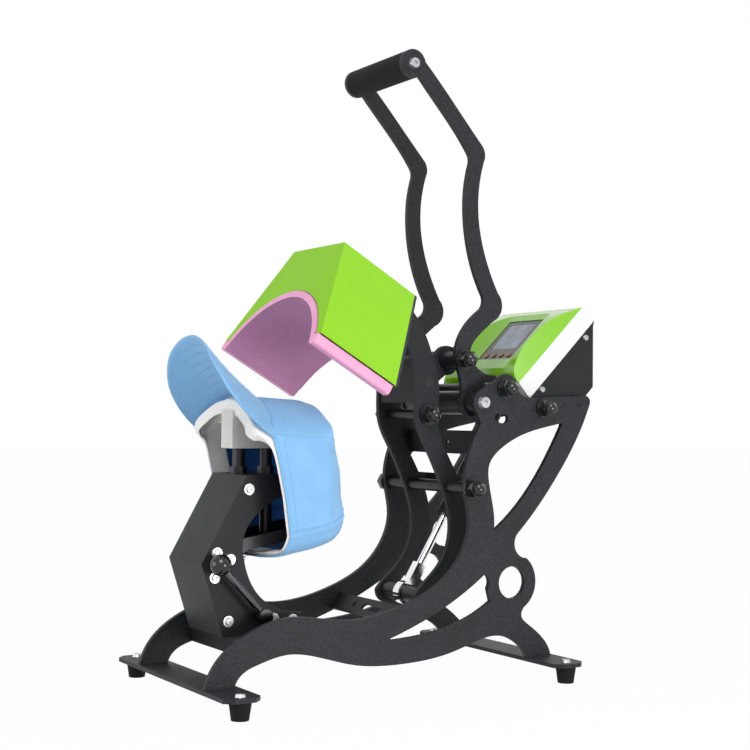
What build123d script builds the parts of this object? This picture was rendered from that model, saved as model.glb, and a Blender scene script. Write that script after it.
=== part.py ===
"""Cap heat press: a clamshell press for caps, with a toggle handle and a gas spring.

Millimetres.  X is the width, -Y the operator's side, +Z up.  The origin is on the
floor under the middle of the frame.  A point written (y, z) lies in the side view.
"""
import os
from math import atan2, cos, degrees, hypot, radians, sin, sqrt, tan

from build123d import *

os.makedirs("parts", exist_ok=True)

# ------------------------------------------------------------------ driving sizes
# side frames and base
frame_width = 153.0          # over the outer faces of the two side frames
frame_plate = 5.0            # laser-cut side frame
foot_height = 16.0           # rubber foot
bar_thickness = 4.0          # foot bar
bar_length = 254.0
bar_width = 36.0
foot_bolt_x = bar_length / 2 - 11  # half the spacing across the press
foot_bolt_y = 179.0          # half the spacing along the press
bolt_radius = 3.0
sheet = 3.0                  # bent and cross plates
ring_radius = 30.0           # round eye at the back of the side frame
ring_hole_radius = 16.0

# pivots, (y, z)
arm_pivot_y, arm_pivot_z = 92.0, 191.5
handle_pivot_y, handle_pivot_z = 105.0, 276.5
stop_rod_y, stop_rod_z = 132.0, 291.0
spring_rod_y, spring_rod_z = 181.0, 271.7
cross_pin_y, cross_pin_z = 96.0, 319.4
link_pin_y, link_pin_z = 66.0, 297.0
arm_tie_y, arm_tie_z = 65.0, 264.0
arm_foot_y, arm_foot_z = 64.0, 82.5
grip_y, grip_z = 33.0, 610.0

rod_radius = 6.0             # frame rods and handle shaft
pin_radius = 5.0             # cross pin, link pins and arm rods
running = 0.05               # radial clearance of a turning fit
gap = 0.3                    # clearance between pieces that slide past each other

# swinging arms, handle and toggle link
arm_half = 37.5              # outer face of the swinging arms
arm_plate = 5.0
handle_half = 55.5           # outer face of the handle plates
handle_plate = 5.0
grip_radius = 14.0
link_half = 25.0             # outer face of the link plates
link_plate = 5.0
link_eye = 20.0              # open eye of the link round the cross pin, diameter
arm_close = 27.0             # degrees from open to pressing

# upper platen, in its own frame: y back along the arch, z up out of it
platen_tilt = 30.1           # degrees that the open platen leans forward
platen_y, platen_z = -93.8, 337.4
cover_depth = 93.0
cover_height = 105.0
cover_half_bottom = 100.0
cover_half_top = 50.7
cover_sheet = 1.5
arch_radius = 96.0           # inner face of the silicone pad
arch_rise = 45.5             # pad's crown above the cover's lower edge
pad_thickness = 7.0
pad_lip = 11.0               # the pad stands this far below the cover
casting_thickness = 9.0
foil_thickness = 1.0
wool_thickness = 8.0

# lower platen and cap
lower_wall = 8.0
lower_felt = 1.6
cap_cloth = 1.8
band_cloth = 1.2             # sweatband
band_depth = 25.0
cap_half = 76.0
cap_back_y = -27.0
cap_floor_z = 126.0
brim_length = 69.0
brim_pitch = 53.0            # degrees that the brim stands up from level
brim_thickness = 3.5

# pedestal
pedestal_half = 36.7
pedestal_top_z = 206.0
pedestal_plate = 3.0
post_radius = 6.0
front_post_y, rear_post_y = -126.0, -97.0
retractor_y, retractor_z = -152.6, 129.3
lever_y, lever_z = -123.5, 77.0
lever_length = 66.0
lever_angle = 132.0          # degrees in the side view, from +Y towards +Z
knob_radius = 10.0

# control box, in its own frame: y up the slope, z out of it
box_washer = 2.0             # between the box and the side frames
box_half = frame_width / 2 - frame_plate - box_washer
box_y, box_z = 168.3, 281.7
box_tilt = 44.4
box_length = 118.9
box_wall = 1.5
box_back_y = 251.5
box_side_screws = [(241.1, 346), (183.7, 290.8)]
frame_screws = [(206.5, 274.8), (226.3, 274.5)]
band_height = 20.0
panel_z = 26.5
panel_half = 29.5
panel_start, panel_end = 33.0, 94.0
button_radius = 3.2
button_pitch = 13.0
button_line = 39.5
button_travel = 1.0

# gas spring
cylinder_radius = 9.0
cylinder_length = 132.0
piston_rod_radius = 4.0
arm_tube_radius = 9.0
spring_eye_clearance = 2.0

# ------------------------------------------------------------------ worked-out places
deck_level = foot_height + bar_thickness
frame_inner = frame_width / 2 - frame_plate
arm_inner = arm_half - arm_plate
handle_inner = handle_half - handle_plate
link_inner = link_half - link_plate
arch_centre_z = arch_rise - arch_radius
casting_radius = arch_radius + pad_thickness + casting_thickness

# the box reaches further back than the feet reach forward, so the whole is centred here
rocker_stand = 5.0
centre_y = (box_back_y + rocker_stand - foot_bolt_y - bar_width / 2) / 2


def side_view(x):
    """The plane at x where a sketch is drawn as (y, z)."""
    return Plane(origin=(x, -centre_y, 0), x_dir=(0, 1, 0), z_dir=(1, 0, 0))


def plan_view(z):
    """The level plane at z where a sketch is drawn as (x, y)."""
    return Plane(origin=(0, -centre_y, z), x_dir=(1, 0, 0), z_dir=(0, 0, 1))


def front_view(y):
    """The upright plane at y, facing the operator, where a sketch is drawn as (x, z)."""
    return Plane(origin=(0, y - centre_y, 0), x_dir=(1, 0, 0), z_dir=(0, -1, 0))


def sloped(y, z, angle):
    """A plane through (y, z) whose normal leans back from +Z by angle degrees."""
    return Plane(origin=(0, y - centre_y, z), x_dir=(1, 0, 0),
                 z_dir=(0, sin(radians(angle)), cos(radians(angle))))


def aimed(x, y, z, rise):
    """A plane through (x, y, z) whose normal lies in the side view, rise degrees from +Y."""
    return Plane(origin=(x, y - centre_y, z), x_dir=(1, 0, 0),
                 z_dir=(0, cos(radians(rise)), sin(radians(rise))))


platen_frame = sloped(platen_y, platen_z, platen_tilt)
box_frame = sloped(box_y, box_z, -box_tilt)


def turned(y, z, angle):
    """A (y, z) point after the arms have swung by angle degrees about their rod."""
    c, s = cos(radians(angle)), sin(radians(angle))
    dy, dz = y - arm_pivot_y, z - arm_pivot_z
    return arm_pivot_y + dy * c - dz * s, arm_pivot_z + dy * s + dz * c


closed_y, closed_z = turned(platen_y, platen_z, arm_close)
closed_tilt = platen_tilt - arm_close
closed_frame = sloped(closed_y, closed_z, closed_tilt)


def rod_along_x(x0, x1, y, z, radius):
    """A round bar from x0 to x1 at (y, z)."""
    with BuildPart() as bar:
        with BuildSketch(side_view(x0)):
            with Locations((y, z)):
                Circle(radius)
        extrude(amount=x1 - x0)
    return bar.part


def tube_along_x(x0, x1, y, z, radius, bore):
    """A round tube from x0 to x1 at (y, z)."""
    with BuildPart() as tube:
        with BuildSketch(side_view(x0)):
            with Locations((y, z)):
                Circle(radius)
                Circle(bore, mode=Mode.SUBTRACT)
        extrude(amount=x1 - x0)
    return tube.part


def cap_nut(x, y, z, side, bore, across=16.0):
    """A washer and a domed nut on the outer face at x; side is +1 or -1."""
    washer, hexagon, dome = 2.0, 9.0, across * 0.45
    with BuildPart() as nut:
        with BuildSketch(side_view(x)):
            with Locations((y, z)):
                Circle(across * 0.66)
                Circle(bore, mode=Mode.SUBTRACT)
        extrude(amount=side * washer)
        with BuildSketch(side_view(x + side * washer)):
            with Locations((y, z)):
                RegularPolygon(across / 2, 6, major_radius=False)
                Circle(bore, mode=Mode.SUBTRACT)
        extrude(amount=side * hexagon)
        with BuildSketch(plan_view(z)):
            with BuildLine():
                x2 = x + side * (washer + hexagon)
                Polyline((x2 + side * dome, y), (x2, y), (x2, y + dome))
                RadiusArc((x2, y + dome), (x2 + side * dome, y), side * dome)
            make_face()
        revolve(axis=Axis((0, y - centre_y, z), (1, 0, 0)))
    return nut.part


def button_head(x, y, z, side, radius, height):
    """A domed socket screw head on the face at x, with its hexagon recess."""
    with BuildPart() as head:
        with BuildSketch(side_view(x)):
            with Locations((y, z)):
                Circle(radius)
        extrude(amount=side * height, taper=20)
        with BuildSketch(side_view(x + side * height)):
            with Locations((y, z)):
                RegularPolygon(radius * 0.42, 6)
        extrude(amount=-side * height * 0.6, mode=Mode.SUBTRACT)
    return head.part


# ------------------------------------------------------------------ side frames
with BuildPart() as side_frame_right:
    with BuildSketch(side_view(frame_inner)):
        with BuildLine():
            foot_front = Line((-165, deck_level), (-194, deck_level))
            over = Spline(foot_front @ 1, (-184, 41.5), (-158, 63.5), (-108.6, 78), (-52, 71.7),
                          (18, 83.5), (68.5, 113), (88.8, 158), (83, 196), (92, 236),
                          (102.5, 256))
            nose = ThreePointArc((96, 268), (handle_pivot_y - 12, handle_pivot_z),
                                 (100, 287.5))
            Line(over @ 1, nose @ 0)
            knob = ThreePointArc((121.5, 299), (136.5, 305), (146.3, 293.5))
            Line(nose @ 1, knob @ 0)
            shoulder = ThreePointArc(knob @ 1, (150.5, 286), (160.5, 282))
            top = Line(shoulder @ 1, (234.5, 285))
            corner = ThreePointArc(top @ 1, (241, 282), (241.3, 275.5))
            strut = Spline(corner @ 1, (226.5, 244.2), (201, 205.3), (167.2, 164), (151, 147.5))
            eye_y, eye_z = 141.5, 96.5
            notch = ThreePointArc(strut @ 1, (145.2, 131.5), (eye_y + 18.5, eye_z + 23.6))
            eye = ThreePointArc(notch @ 1, (eye_y + ring_radius, eye_z),
                                (eye_y + 15.5, eye_z - 25.7))
            heel = Spline(eye @ 1, (154.4, 61), (163, 53), (178.5, 40.9), (191.5, deck_level))
            foot_rear = Line(heel @ 1, (161.5, deck_level))
            Spline(foot_rear @ 1, (153.5, 31), (122.3, 44.8), (95, 40), (67, 32), (8, 25.8),
                   (-41, 29.2), (-79, 39.4), (-112, 44.5), (-140, 38.6), (-160, 28.7),
                   foot_front @ 0)
        make_face()
        with Locations((eye_y, eye_z)):
            Circle(ring_hole_radius, mode=Mode.SUBTRACT)
        with BuildLine():
            bow = Spline((205, 256.5), (168, 248.8), (129, 232), (112.6, 214), (112.4, 198),
                         (118.5, 168), (118.8, 149))
            Spline(bow @ 1, (149.6, 174.9), (182, 216), (204, 253))
            Line((204, 253), bow @ 0)
        make_face(mode=Mode.SUBTRACT)
        with BuildLine():
            vent = Spline((-2, 51), (40, 66.9), (81.7, 88.4), (109, 106.8))
            nook = ThreePointArc(vent @ 1, (112.4, 103), (111.8, 92))
            Line(nook @ 1, (115.2, 79.5))
            Spline((115.2, 79.5), (82, 62.8), (37, 52.3), (-2, 49.5))
            Line((-2, 49.5), vent @ 0)
        make_face(mode=Mode.SUBTRACT)
        with Locations((arm_pivot_y, arm_pivot_z), (handle_pivot_y, handle_pivot_z),
                       (stop_rod_y, stop_rod_z), (spring_rod_y, spring_rod_z)):
            Circle(rod_radius + running, mode=Mode.SUBTRACT)
        with Locations((handle_pivot_y + 22.5, handle_pivot_z - 15.5)):
            SlotOverall(16.5, 9.5, rotation=-8, mode=Mode.SUBTRACT)
        with Locations(*frame_screws):
            Circle(2.1, mode=Mode.SUBTRACT)
    extrude(amount=frame_plate)
side_frame_right.part.label = "side_frame_right"
export_step(side_frame_right.part, "parts/side_frame_right.step")

with BuildPart() as side_frame_left:
    add(mirror(side_frame_right.part, about=Plane.YZ))
side_frame_left.part.label = "side_frame_left"
export_step(side_frame_left.part, "parts/side_frame_left.step")

# ------------------------------------------------------------------ foot bars, feet, bolts
for name, y in (("front_foot_bar", -foot_bolt_y), ("rear_foot_bar", foot_bolt_y)):
    with BuildPart() as foot_bar:
        with BuildSketch(plan_view(foot_height)):
            with Locations((0, y)):
                Rectangle(bar_length, bar_width)
            chamfer(vertices(), 8)
            with Locations((-foot_bolt_x, y), (foot_bolt_x, y)):
                Circle(bolt_radius + 0.2, mode=Mode.SUBTRACT)
        extrude(amount=bar_thickness)
    foot_bar.part.label = name
    export_step(foot_bar.part, f"parts/{name}.step")

with BuildPart() as rubber_feet:
    with BuildSketch(plan_view(foot_height)):
        with GridLocations(2 * foot_bolt_x, 2 * foot_bolt_y, 2, 2):
            Circle(10.3)
            Circle(bolt_radius + 0.2, mode=Mode.SUBTRACT)
    extrude(amount=-foot_height, taper=8.5)
rubber_feet.part.label = "rubber_feet"
export_step(rubber_feet.part, "parts/rubber_feet.step")

with BuildPart() as foot_bolts:
    with BuildSketch(plan_view(deck_level)):
        with GridLocations(2 * foot_bolt_x, 2 * foot_bolt_y, 2, 2):
            Circle(5)
    extrude(amount=2.6, taper=25)
    with BuildSketch(plan_view(deck_level)):
        with GridLocations(2 * foot_bolt_x, 2 * foot_bolt_y, 2, 2):
            Circle(bolt_radius)
    extrude(amount=-(bar_thickness + foot_height * 0.6))
    with BuildSketch(plan_view(deck_level + 2.6)):
        with GridLocations(2 * foot_bolt_x, 2 * foot_bolt_y, 2, 2):
            RegularPolygon(1.9, 6)
    extrude(amount=-1.6, mode=Mode.SUBTRACT)
foot_bolts.part.label = "foot_bolts"
export_step(foot_bolts.part, "parts/foot_bolts.step")

# ------------------------------------------------------------------ cross plates
deck_top = 58.0
with BuildPart() as front_deck:
    with BuildSketch(side_view(-frame_inner)):
        with BuildLine():
            Polyline((-142, 39.5), (-142, deck_top), (-62, deck_top), (-62, 47),
                     (-62 - sheet, 47), (-62 - sheet, deck_top - sheet),
                     (-142 + sheet, deck_top - sheet), (-142 + sheet, 39.5), (-142, 39.5))
        make_face()
    extrude(amount=2 * frame_inner)
    with BuildSketch(plan_view(deck_top)):
        with Locations((0, -100)):
            Circle(9)
    extrude(amount=-sheet, mode=Mode.SUBTRACT)
front_deck.part.label = "front_deck"
export_step(front_deck.part, "parts/front_deck.step")

plate_tilt = 44.0
with BuildPart() as cross_plates:
    with BuildSketch(sloped(22.9, 69.5, -plate_tilt)):
        Rectangle(2 * frame_inner, 20)
        SlotOverall(34, 8, mode=Mode.SUBTRACT)
        with Locations((-32, 0), (32, 0)):
            Circle(3, mode=Mode.SUBTRACT)
    extrude(amount=-sheet)
    with BuildSketch(front_view(117)):
        with Locations((0, 236)):
            Rectangle(2 * frame_inner, 24)
            Circle(2.5, mode=Mode.SUBTRACT)
    extrude(amount=sheet)
    with BuildSketch(front_view(112)):
        with Locations((0, 199.2)):
            Rectangle(2 * frame_inner, 7.5)
    extrude(amount=sheet)
cross_plates.part.label = "cross_plates"
export_step(cross_plates.part, "parts/cross_plates.step")

# ------------------------------------------------------------------ rods through the frame
rod_places = [(arm_pivot_y, arm_pivot_z), (stop_rod_y, stop_rod_z), (spring_rod_y, spring_rod_z)]
rod_end = frame_width / 2 + 11
with BuildPart() as frame_rods:
    for y, z in rod_places:
        add(rod_along_x(-rod_end, rod_end, y, z, rod_radius))
frame_rods.part.label = "frame_rods"
export_step(frame_rods.part, "parts/frame_rods.step")

with BuildPart() as frame_cap_nuts:
    for y, z in rod_places:
        for side in (-1, 1):
            add(cap_nut(side * frame_width / 2, y, z, side, rod_radius))
frame_cap_nuts.part.label = "frame_cap_nuts"
export_step(frame_cap_nuts.part, "parts/frame_cap_nuts.step")

with BuildPart() as handle_pivot_shaft:
    add(rod_along_x(-frame_width / 2, frame_width / 2, handle_pivot_y, handle_pivot_z, rod_radius))
    for side in (-1, 1):
        add(rod_along_x(side * (handle_half + gap), side * (frame_inner - gap),
                        handle_pivot_y, handle_pivot_z, 10))
        add(button_head(side * frame_width / 2, handle_pivot_y, handle_pivot_z, side, 6.8, 4))
handle_pivot_shaft.part.label = "handle_pivot_shaft"
export_step(handle_pivot_shaft.part, "parts/handle_pivot_shaft.step")

# ------------------------------------------------------------------ handle
with BuildPart() as handle_arm_right:
    with BuildSketch(side_view(handle_inner)):
        with BuildLine():
            front = Spline((39.7, 597.5), (60.4, 574.5), (81.6, 551), (99.5, 527.5))
            bend = ThreePointArc(front @ 1, (101.5, 522.5), (101.3, 517.5))
            shin = Spline(bend @ 1, (95.3, 478), (96.2, 456.7), (104, 418), (117.5, 386.5))
            knee = ThreePointArc(shin @ 1, (119.6, 379), (116, 371))
            lower = Spline(knee @ 1, (104.5, 361.5), (93.9, 348.9), (87, 334),
                           (cross_pin_y - 10.3, cross_pin_z))
            neck = Spline(lower @ 1, (90, 307.3), (93.4, 294), (91.2, 279))
            heel = ThreePointArc(neck @ 1, (handle_pivot_y, handle_pivot_z - 14),
                                 (handle_pivot_y + 13.5, handle_pivot_z + 3.5))
            catch_y, catch_z = stop_rod_y + 1.5, stop_rod_z + rod_radius + gap
            Line(heel @ 1, (122, catch_z))
            Line((122, catch_z), (catch_y, catch_z))
            catch = ThreePointArc((catch_y, catch_z), (catch_y + 3.6, catch_z + 3.6),
                                  (catch_y, catch_z + 7.2))
            back = Spline(catch @ 1, (111.8, 312.2), (103.6, 326.5), (115.8, 346.1),
                          (132, 359.5))
            elbow = ThreePointArc(back @ 1, (142.6, 372.5), (137.5, 388))
            rear = Spline(elbow @ 1, (119.4, 430), (112.3, 466), (113.4, 497.7), (120, 524.5))
            crook = ThreePointArc(rear @ 1, (119.9, 530), (117, 536.5))
            away = Spline(crook @ 1, (84, 573), (64, 595), (46.6, 613))
            ThreePointArc(away @ 1, (grip_y - 5, grip_z + grip_radius - 0.9), front @ 0)
        make_face()
        with Locations((grip_y, grip_z)):
            Circle(grip_radius)
            Circle(4.05, mode=Mode.SUBTRACT)
        with Locations((cross_pin_y, cross_pin_z)):
            Circle(pin_radius + running, mode=Mode.SUBTRACT)
        with Locations((handle_pivot_y, handle_pivot_z)):
            Circle(rod_radius + running, mode=Mode.SUBTRACT)
    extrude(amount=handle_plate)
handle_arm_right.part.label = "handle_arm_right"
export_step(handle_arm_right.part, "parts/handle_arm_right.step")

with BuildPart() as handle_arm_left:
    add(mirror(handle_arm_right.part, about=Plane.YZ))
handle_arm_left.part.label = "handle_arm_left"
export_step(handle_arm_left.part, "parts/handle_arm_left.step")

with BuildPart() as handle_grip:
    add(rod_along_x(-handle_inner, handle_inner, grip_y, grip_z, grip_radius))
handle_grip.part.label = "handle_grip"
export_step(handle_grip.part, "parts/handle_grip.step")

with BuildPart() as grip_bolts:
    for side in (-1, 1):
        add(button_head(side * handle_half, grip_y, grip_z, side, 6, 3.2))
        add(rod_along_x(side * handle_inner, side * handle_half, grip_y, grip_z, 4))
grip_bolts.part.label = "grip_bolts"
export_step(grip_bolts.part, "parts/grip_bolts.step")

with BuildPart() as handle_sleeve:
    add(tube_along_x(-handle_inner, handle_inner, handle_pivot_y, handle_pivot_z,
                     rod_radius * 2, rod_radius + running))
handle_sleeve.part.label = "handle_sleeve"
export_step(handle_sleeve.part, "parts/handle_sleeve.step")

cross_tube_radius = 10.0
link_side_gap = 0.5
with BuildPart() as handle_cross_pin:
    add(rod_along_x(-handle_half - 9, handle_half + 9, cross_pin_y, cross_pin_z, pin_radius))
    add(rod_along_x(-link_inner + link_side_gap, link_inner - link_side_gap,
                    cross_pin_y, cross_pin_z, cross_tube_radius))
    for side in (-1, 1):
        add(rod_along_x(side * (link_half + link_side_gap), side * handle_inner,
                        cross_pin_y, cross_pin_z, cross_tube_radius))
        with BuildSketch(plan_view(cross_pin_z)):
            with Locations((side * 38, cross_pin_y)):
                Circle(4.5)
        extrude(amount=cross_tube_radius + 3)
handle_cross_pin.part.label = "handle_cross_pin"
export_step(handle_cross_pin.part, "parts/handle_cross_pin.step")

with BuildPart() as cross_pin_nuts:
    for side in (-1, 1):
        add(cap_nut(side * handle_half, cross_pin_y, cross_pin_z, side, pin_radius))
cross_pin_nuts.part.label = "cross_pin_nuts"
export_step(cross_pin_nuts.part, "parts/cross_pin_nuts.step")

# ------------------------------------------------------------------ toggle link
link_angle = degrees(atan2(cross_pin_z - link_pin_z, cross_pin_y - link_pin_y))
link_length = hypot(cross_pin_z - link_pin_z, cross_pin_y - link_pin_y)
link_boss = 11.0
link_eye_boss = link_eye / 2 + 5
with BuildPart() as toggle_link:
    for side in (-1, 1):
        with BuildSketch(side_view(side * link_inner)):
            with Locations((link_pin_y, link_pin_z)):
                Circle(link_boss)
            with Locations((cross_pin_y, cross_pin_z)):
                Circle(link_eye_boss)
            with Locations(Location((link_pin_y, link_pin_z), link_angle)):
                with Locations((link_length / 2, 0)):
                    Rectangle(link_length, 2 * link_boss)
            with Locations((link_pin_y, link_pin_z)):
                Circle(pin_radius + running, mode=Mode.SUBTRACT)
            with Locations((cross_pin_y, cross_pin_z)):
                Circle(link_eye / 2, mode=Mode.SUBTRACT)
        extrude(amount=side * link_plate)
    with BuildSketch(side_view(-link_inner)):
        with Locations((link_pin_y, link_pin_z)):
            Circle(link_boss - 2)
            Circle(pin_radius + running, mode=Mode.SUBTRACT)
    extrude(amount=2 * link_inner)
toggle_link.part.label = "toggle_link"
export_step(toggle_link.part, "parts/toggle_link.step")

# ------------------------------------------------------------------ swinging arms
back_y, back_z = platen_y + cover_depth * cos(radians(platen_tilt)), \
    platen_z - cover_depth * sin(radians(platen_tilt))
rear_sheet = 3.0


def on_back(height):
    """A (y, z) point on the rear face of the platen's back plate, height up from its edge."""
    c, s = cos(radians(platen_tilt)), sin(radians(platen_tilt))
    return back_y + rear_sheet * c + height * s, back_z - rear_sheet * s + height * c


with BuildPart() as platen_arm_right:
    with BuildSketch(side_view(arm_inner)):
        with BuildLine():
            low_front = on_back(62)
            low_rear = on_back(98)
            seat = Line(low_front, low_rear)
            back = Spline(seat @ 1, (52.9, 358.2), (66.2, 333.2), (74.2, 310), (77.6, 297),
                          (77, 268), (78.5, 248), (92, 219), (110, 182), (114.6, 155.7),
                          (108, 128), (91, 104), (76, 87))
            toe = ThreePointArc(back @ 1, (arm_foot_y + 3, arm_foot_z - 13.5),
                                (arm_foot_y - 13.7, arm_foot_z + 1))
            Spline(toe @ 1, (57.5, 91.6), (78, 111), (90, 132), (92.2, 160), (82.5, 192),
                   (64, 230), (52, 255), (50, 285), (48.5, 312), (38, 337), seat @ 0)
        make_face()
        with Locations((arm_tie_y, arm_tie_z)):
            Circle(14.5)
            Circle(pin_radius + running, mode=Mode.SUBTRACT)
        with Locations((arm_pivot_y, arm_pivot_z)):
            Circle(rod_radius + running, mode=Mode.SUBTRACT)
        with Locations((link_pin_y, link_pin_z), (arm_foot_y, arm_foot_z)):
            Circle(pin_radius + running, mode=Mode.SUBTRACT)
    extrude(amount=arm_plate)
platen_arm_right.part.label = "platen_arm_right"
export_step(platen_arm_right.part, "parts/platen_arm_right.step")

with BuildPart() as platen_arm_left:
    add(mirror(platen_arm_right.part, about=Plane.YZ))
platen_arm_left.part.label = "platen_arm_left"
export_step(platen_arm_left.part, "parts/platen_arm_left.step")

spring_eye_half = 5.0
with BuildPart() as arm_rods:
    add(rod_along_x(-arm_half - 11, arm_half + 11, arm_tie_y, arm_tie_z, pin_radius))
    add(rod_along_x(-arm_half, arm_half, link_pin_y, link_pin_z, pin_radius))
    add(rod_along_x(-arm_half, arm_half, arm_foot_y, arm_foot_z, pin_radius))
    for side in (-1, 1):
        add(rod_along_x(side * (spring_eye_half + 1), side * arm_inner,
                        arm_foot_y, arm_foot_z, arm_tube_radius))
arm_rods.part.label = "arm_rods"
export_step(arm_rods.part, "parts/arm_rods.step")

with BuildPart() as arm_cap_nuts:
    for side in (-1, 1):
        add(cap_nut(side * arm_half, arm_tie_y, arm_tie_z, side, pin_radius))
arm_cap_nuts.part.label = "arm_cap_nuts"
export_step(arm_cap_nuts.part, "parts/arm_cap_nuts.step")

with BuildPart() as arm_web:
    with BuildSketch(front_view(54)):
        with Locations((0, 298)):
            Rectangle(2 * arm_inner, 44)
    extrude(amount=2.5)
arm_web.part.label = "arm_web"
export_step(arm_web.part, "parts/arm_web.step")

# ------------------------------------------------------------------ upper platen
def cover_outline(inset):
    """Corner points of the cover's section, drawn in by inset."""
    half_b, half_t = cover_half_bottom - inset, cover_half_top - inset
    return [(-half_b, 0), (-half_t, cover_height - inset), (half_t, cover_height - inset),
            (half_b, 0), (-half_b, 0)]


def platen_section(setback):
    """The plane across the arch at a distance back from the cover's front face."""
    return Plane(platen_frame.from_local_coords(Vector(0, setback, 0)), x_dir=(1, 0, 0),
                 z_dir=-platen_frame.y_dir)


front_gap = 1.0              # open line between the pad and the cover's front
mouth_radius = arch_radius + pad_thickness + front_gap

with BuildPart() as platen_cover:
    with BuildSketch(platen_section(0)):
        with BuildLine():
            Polyline(*cover_outline(0))
        make_face()
    extrude(amount=-cover_depth)
    with BuildSketch(platen_section(cover_sheet)):
        with BuildLine():
            Polyline(*cover_outline(cover_sheet))
        make_face()
    extrude(amount=-cover_depth, mode=Mode.SUBTRACT)
    with BuildSketch(platen_section(-1)):
        with Locations((0, arch_centre_z)):
            Circle(mouth_radius)
    extrude(amount=-(cover_sheet + 2), mode=Mode.SUBTRACT)
platen_cover.part.label = "platen_cover"
export_step(platen_cover.part, "parts/platen_cover.step")


def arch_band(inner, outer, start, end, low):
    """A curved slab round the arch from start to end, kept above height low."""
    with BuildPart() as band:
        with BuildSketch(platen_section(start)):
            with Locations((0, arch_centre_z)):
                Circle(outer)
                Circle(inner, mode=Mode.SUBTRACT)
            with Locations((0, low)):
                Rectangle(4 * outer, 4 * outer, align=(Align.CENTER, Align.MAX),
                          mode=Mode.SUBTRACT)
        extrude(amount=-(end - start))
    return band.part


with BuildPart() as silicone_pad:
    add(arch_band(arch_radius, arch_radius + pad_thickness, -1, cover_depth - 1, 0))
    for side in (-1, 1):
        with BuildSketch(platen_section(-1)):
            with BuildLine():
                lip_out = cover_half_bottom - 2.5
                lip_top = sqrt(arch_radius ** 2 - arch_centre_z ** 2)
                lip_low = sqrt(arch_radius ** 2 - (arch_centre_z + pad_lip) ** 2)
                Line((side * (lip_low + 0.5), -pad_lip), (side * (lip_out - 3), -pad_lip))
                ThreePointArc((side * (lip_out - 3), -pad_lip),
                              (side * (lip_out - 0.9), -pad_lip + 0.9),
                              (side * lip_out, -pad_lip + 3))
                Line((side * lip_out, -pad_lip + 3), (side * lip_out, -front_gap))
                Line((side * lip_out, -front_gap), (side * (lip_top + 6), -front_gap))
                Line((side * (lip_top + 6), -front_gap), (side * (lip_top + 6), 0.5))
                Line((side * (lip_top + 6), 0.5), (side * lip_top, 0.5))
                Line((side * lip_top, 0.5), (side * (lip_low + 0.5), -pad_lip))
            make_face()
        extrude(amount=-cover_depth)
silicone_pad.part.label = "silicone_pad"
export_step(silicone_pad.part, "parts/silicone_pad.step")

hanger_x, hanger_front, hanger_rear = 28.0, 20.0, 74.0
hanger_radius = 6.0
flange_z = cover_height - cover_sheet - gap
hanger_places = [(sx * hanger_x, sy) for sx in (-1, 1) for sy in (hanger_front, hanger_rear)]


def hanger_bars(radius):
    """Four round bars where the hanger posts stand."""
    with BuildPart() as bars:
        with BuildSketch(platen_frame):
            with Locations(*hanger_places):
                Circle(radius)
        extrude(amount=2 * cover_height)
    return bars.part


with BuildPart() as heat_platen:
    add(arch_band(arch_radius + pad_thickness, casting_radius, 3, cover_depth - 2, 21))
    post_foot = platen_frame.offset(casting_radius + arch_centre_z - 8)
    with BuildSketch(post_foot):
        with Locations(*hanger_places):
            Circle(hanger_radius)
    extrude(amount=flange_z - sheet - casting_radius - arch_centre_z + 8)
heat_platen.part.label = "heat_platen"
export_step(heat_platen.part, "parts/heat_platen.step")

with BuildPart() as heater_foil:
    add(arch_band(casting_radius + 0.1, casting_radius + foil_thickness, 8, cover_depth - 8, 38))
    add(hanger_bars(hanger_radius + 1), mode=Mode.SUBTRACT)
heater_foil.part.label = "heater_foil"
export_step(heater_foil.part, "parts/heater_foil.step")

with BuildPart() as insulation:
    wool_inner = casting_radius + foil_thickness + 0.1
    add(arch_band(wool_inner, wool_inner + wool_thickness, 6, cover_depth - 6, 50))
    add(hanger_bars(hanger_radius + 1), mode=Mode.SUBTRACT)
insulation.part.label = "insulation"
export_step(insulation.part, "parts/insulation.step")

with BuildPart() as platen_carrier:
    with BuildSketch(platen_section(cover_depth)):
        with BuildLine():
            Polyline(*cover_outline(0))
        make_face()
        with Locations((0, arch_centre_z)):
            Circle(mouth_radius, mode=Mode.SUBTRACT)
    extrude(amount=-rear_sheet)
    with BuildSketch(platen_frame.offset(flange_z - sheet)):
        with Locations((0, (cover_sheet + gap + cover_depth) / 2)):
            Rectangle(2 * (cover_half_top - 8), cover_depth - cover_sheet - gap)
    extrude(amount=sheet)
platen_carrier.part.label = "platen_carrier"
export_step(platen_carrier.part, "parts/platen_carrier.step")

# ------------------------------------------------------------------ gas spring
spring_dy, spring_dz = arm_foot_y - spring_rod_y, arm_foot_z - spring_rod_z
spring_length = hypot(spring_dy, spring_dz)
spring_line = aimed(0, spring_rod_y, spring_rod_z, degrees(atan2(spring_dz, spring_dy)))
eye_width = 10.0
with BuildPart() as gas_cylinder:
    add(rod_along_x(-eye_width / 2, eye_width / 2, spring_rod_y, spring_rod_z, rod_radius + 3.4))
    with BuildSketch(spring_line.offset(rod_radius)):
        Circle(6)
    extrude(amount=12)
    with BuildSketch(spring_line.offset(16)):
        Circle(cylinder_radius)
    extrude(amount=cylinder_length - 16)
    with BuildSketch(spring_line.offset(cylinder_length - 60)):
        Circle(piston_rod_radius + running)
    extrude(amount=60, mode=Mode.SUBTRACT)
    add(rod_along_x(-eye_width, eye_width, spring_rod_y, spring_rod_z, rod_radius + running),
        mode=Mode.SUBTRACT)
gas_cylinder.part.label = "gas_cylinder"
export_step(gas_cylinder.part, "parts/gas_cylinder.step")

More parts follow.
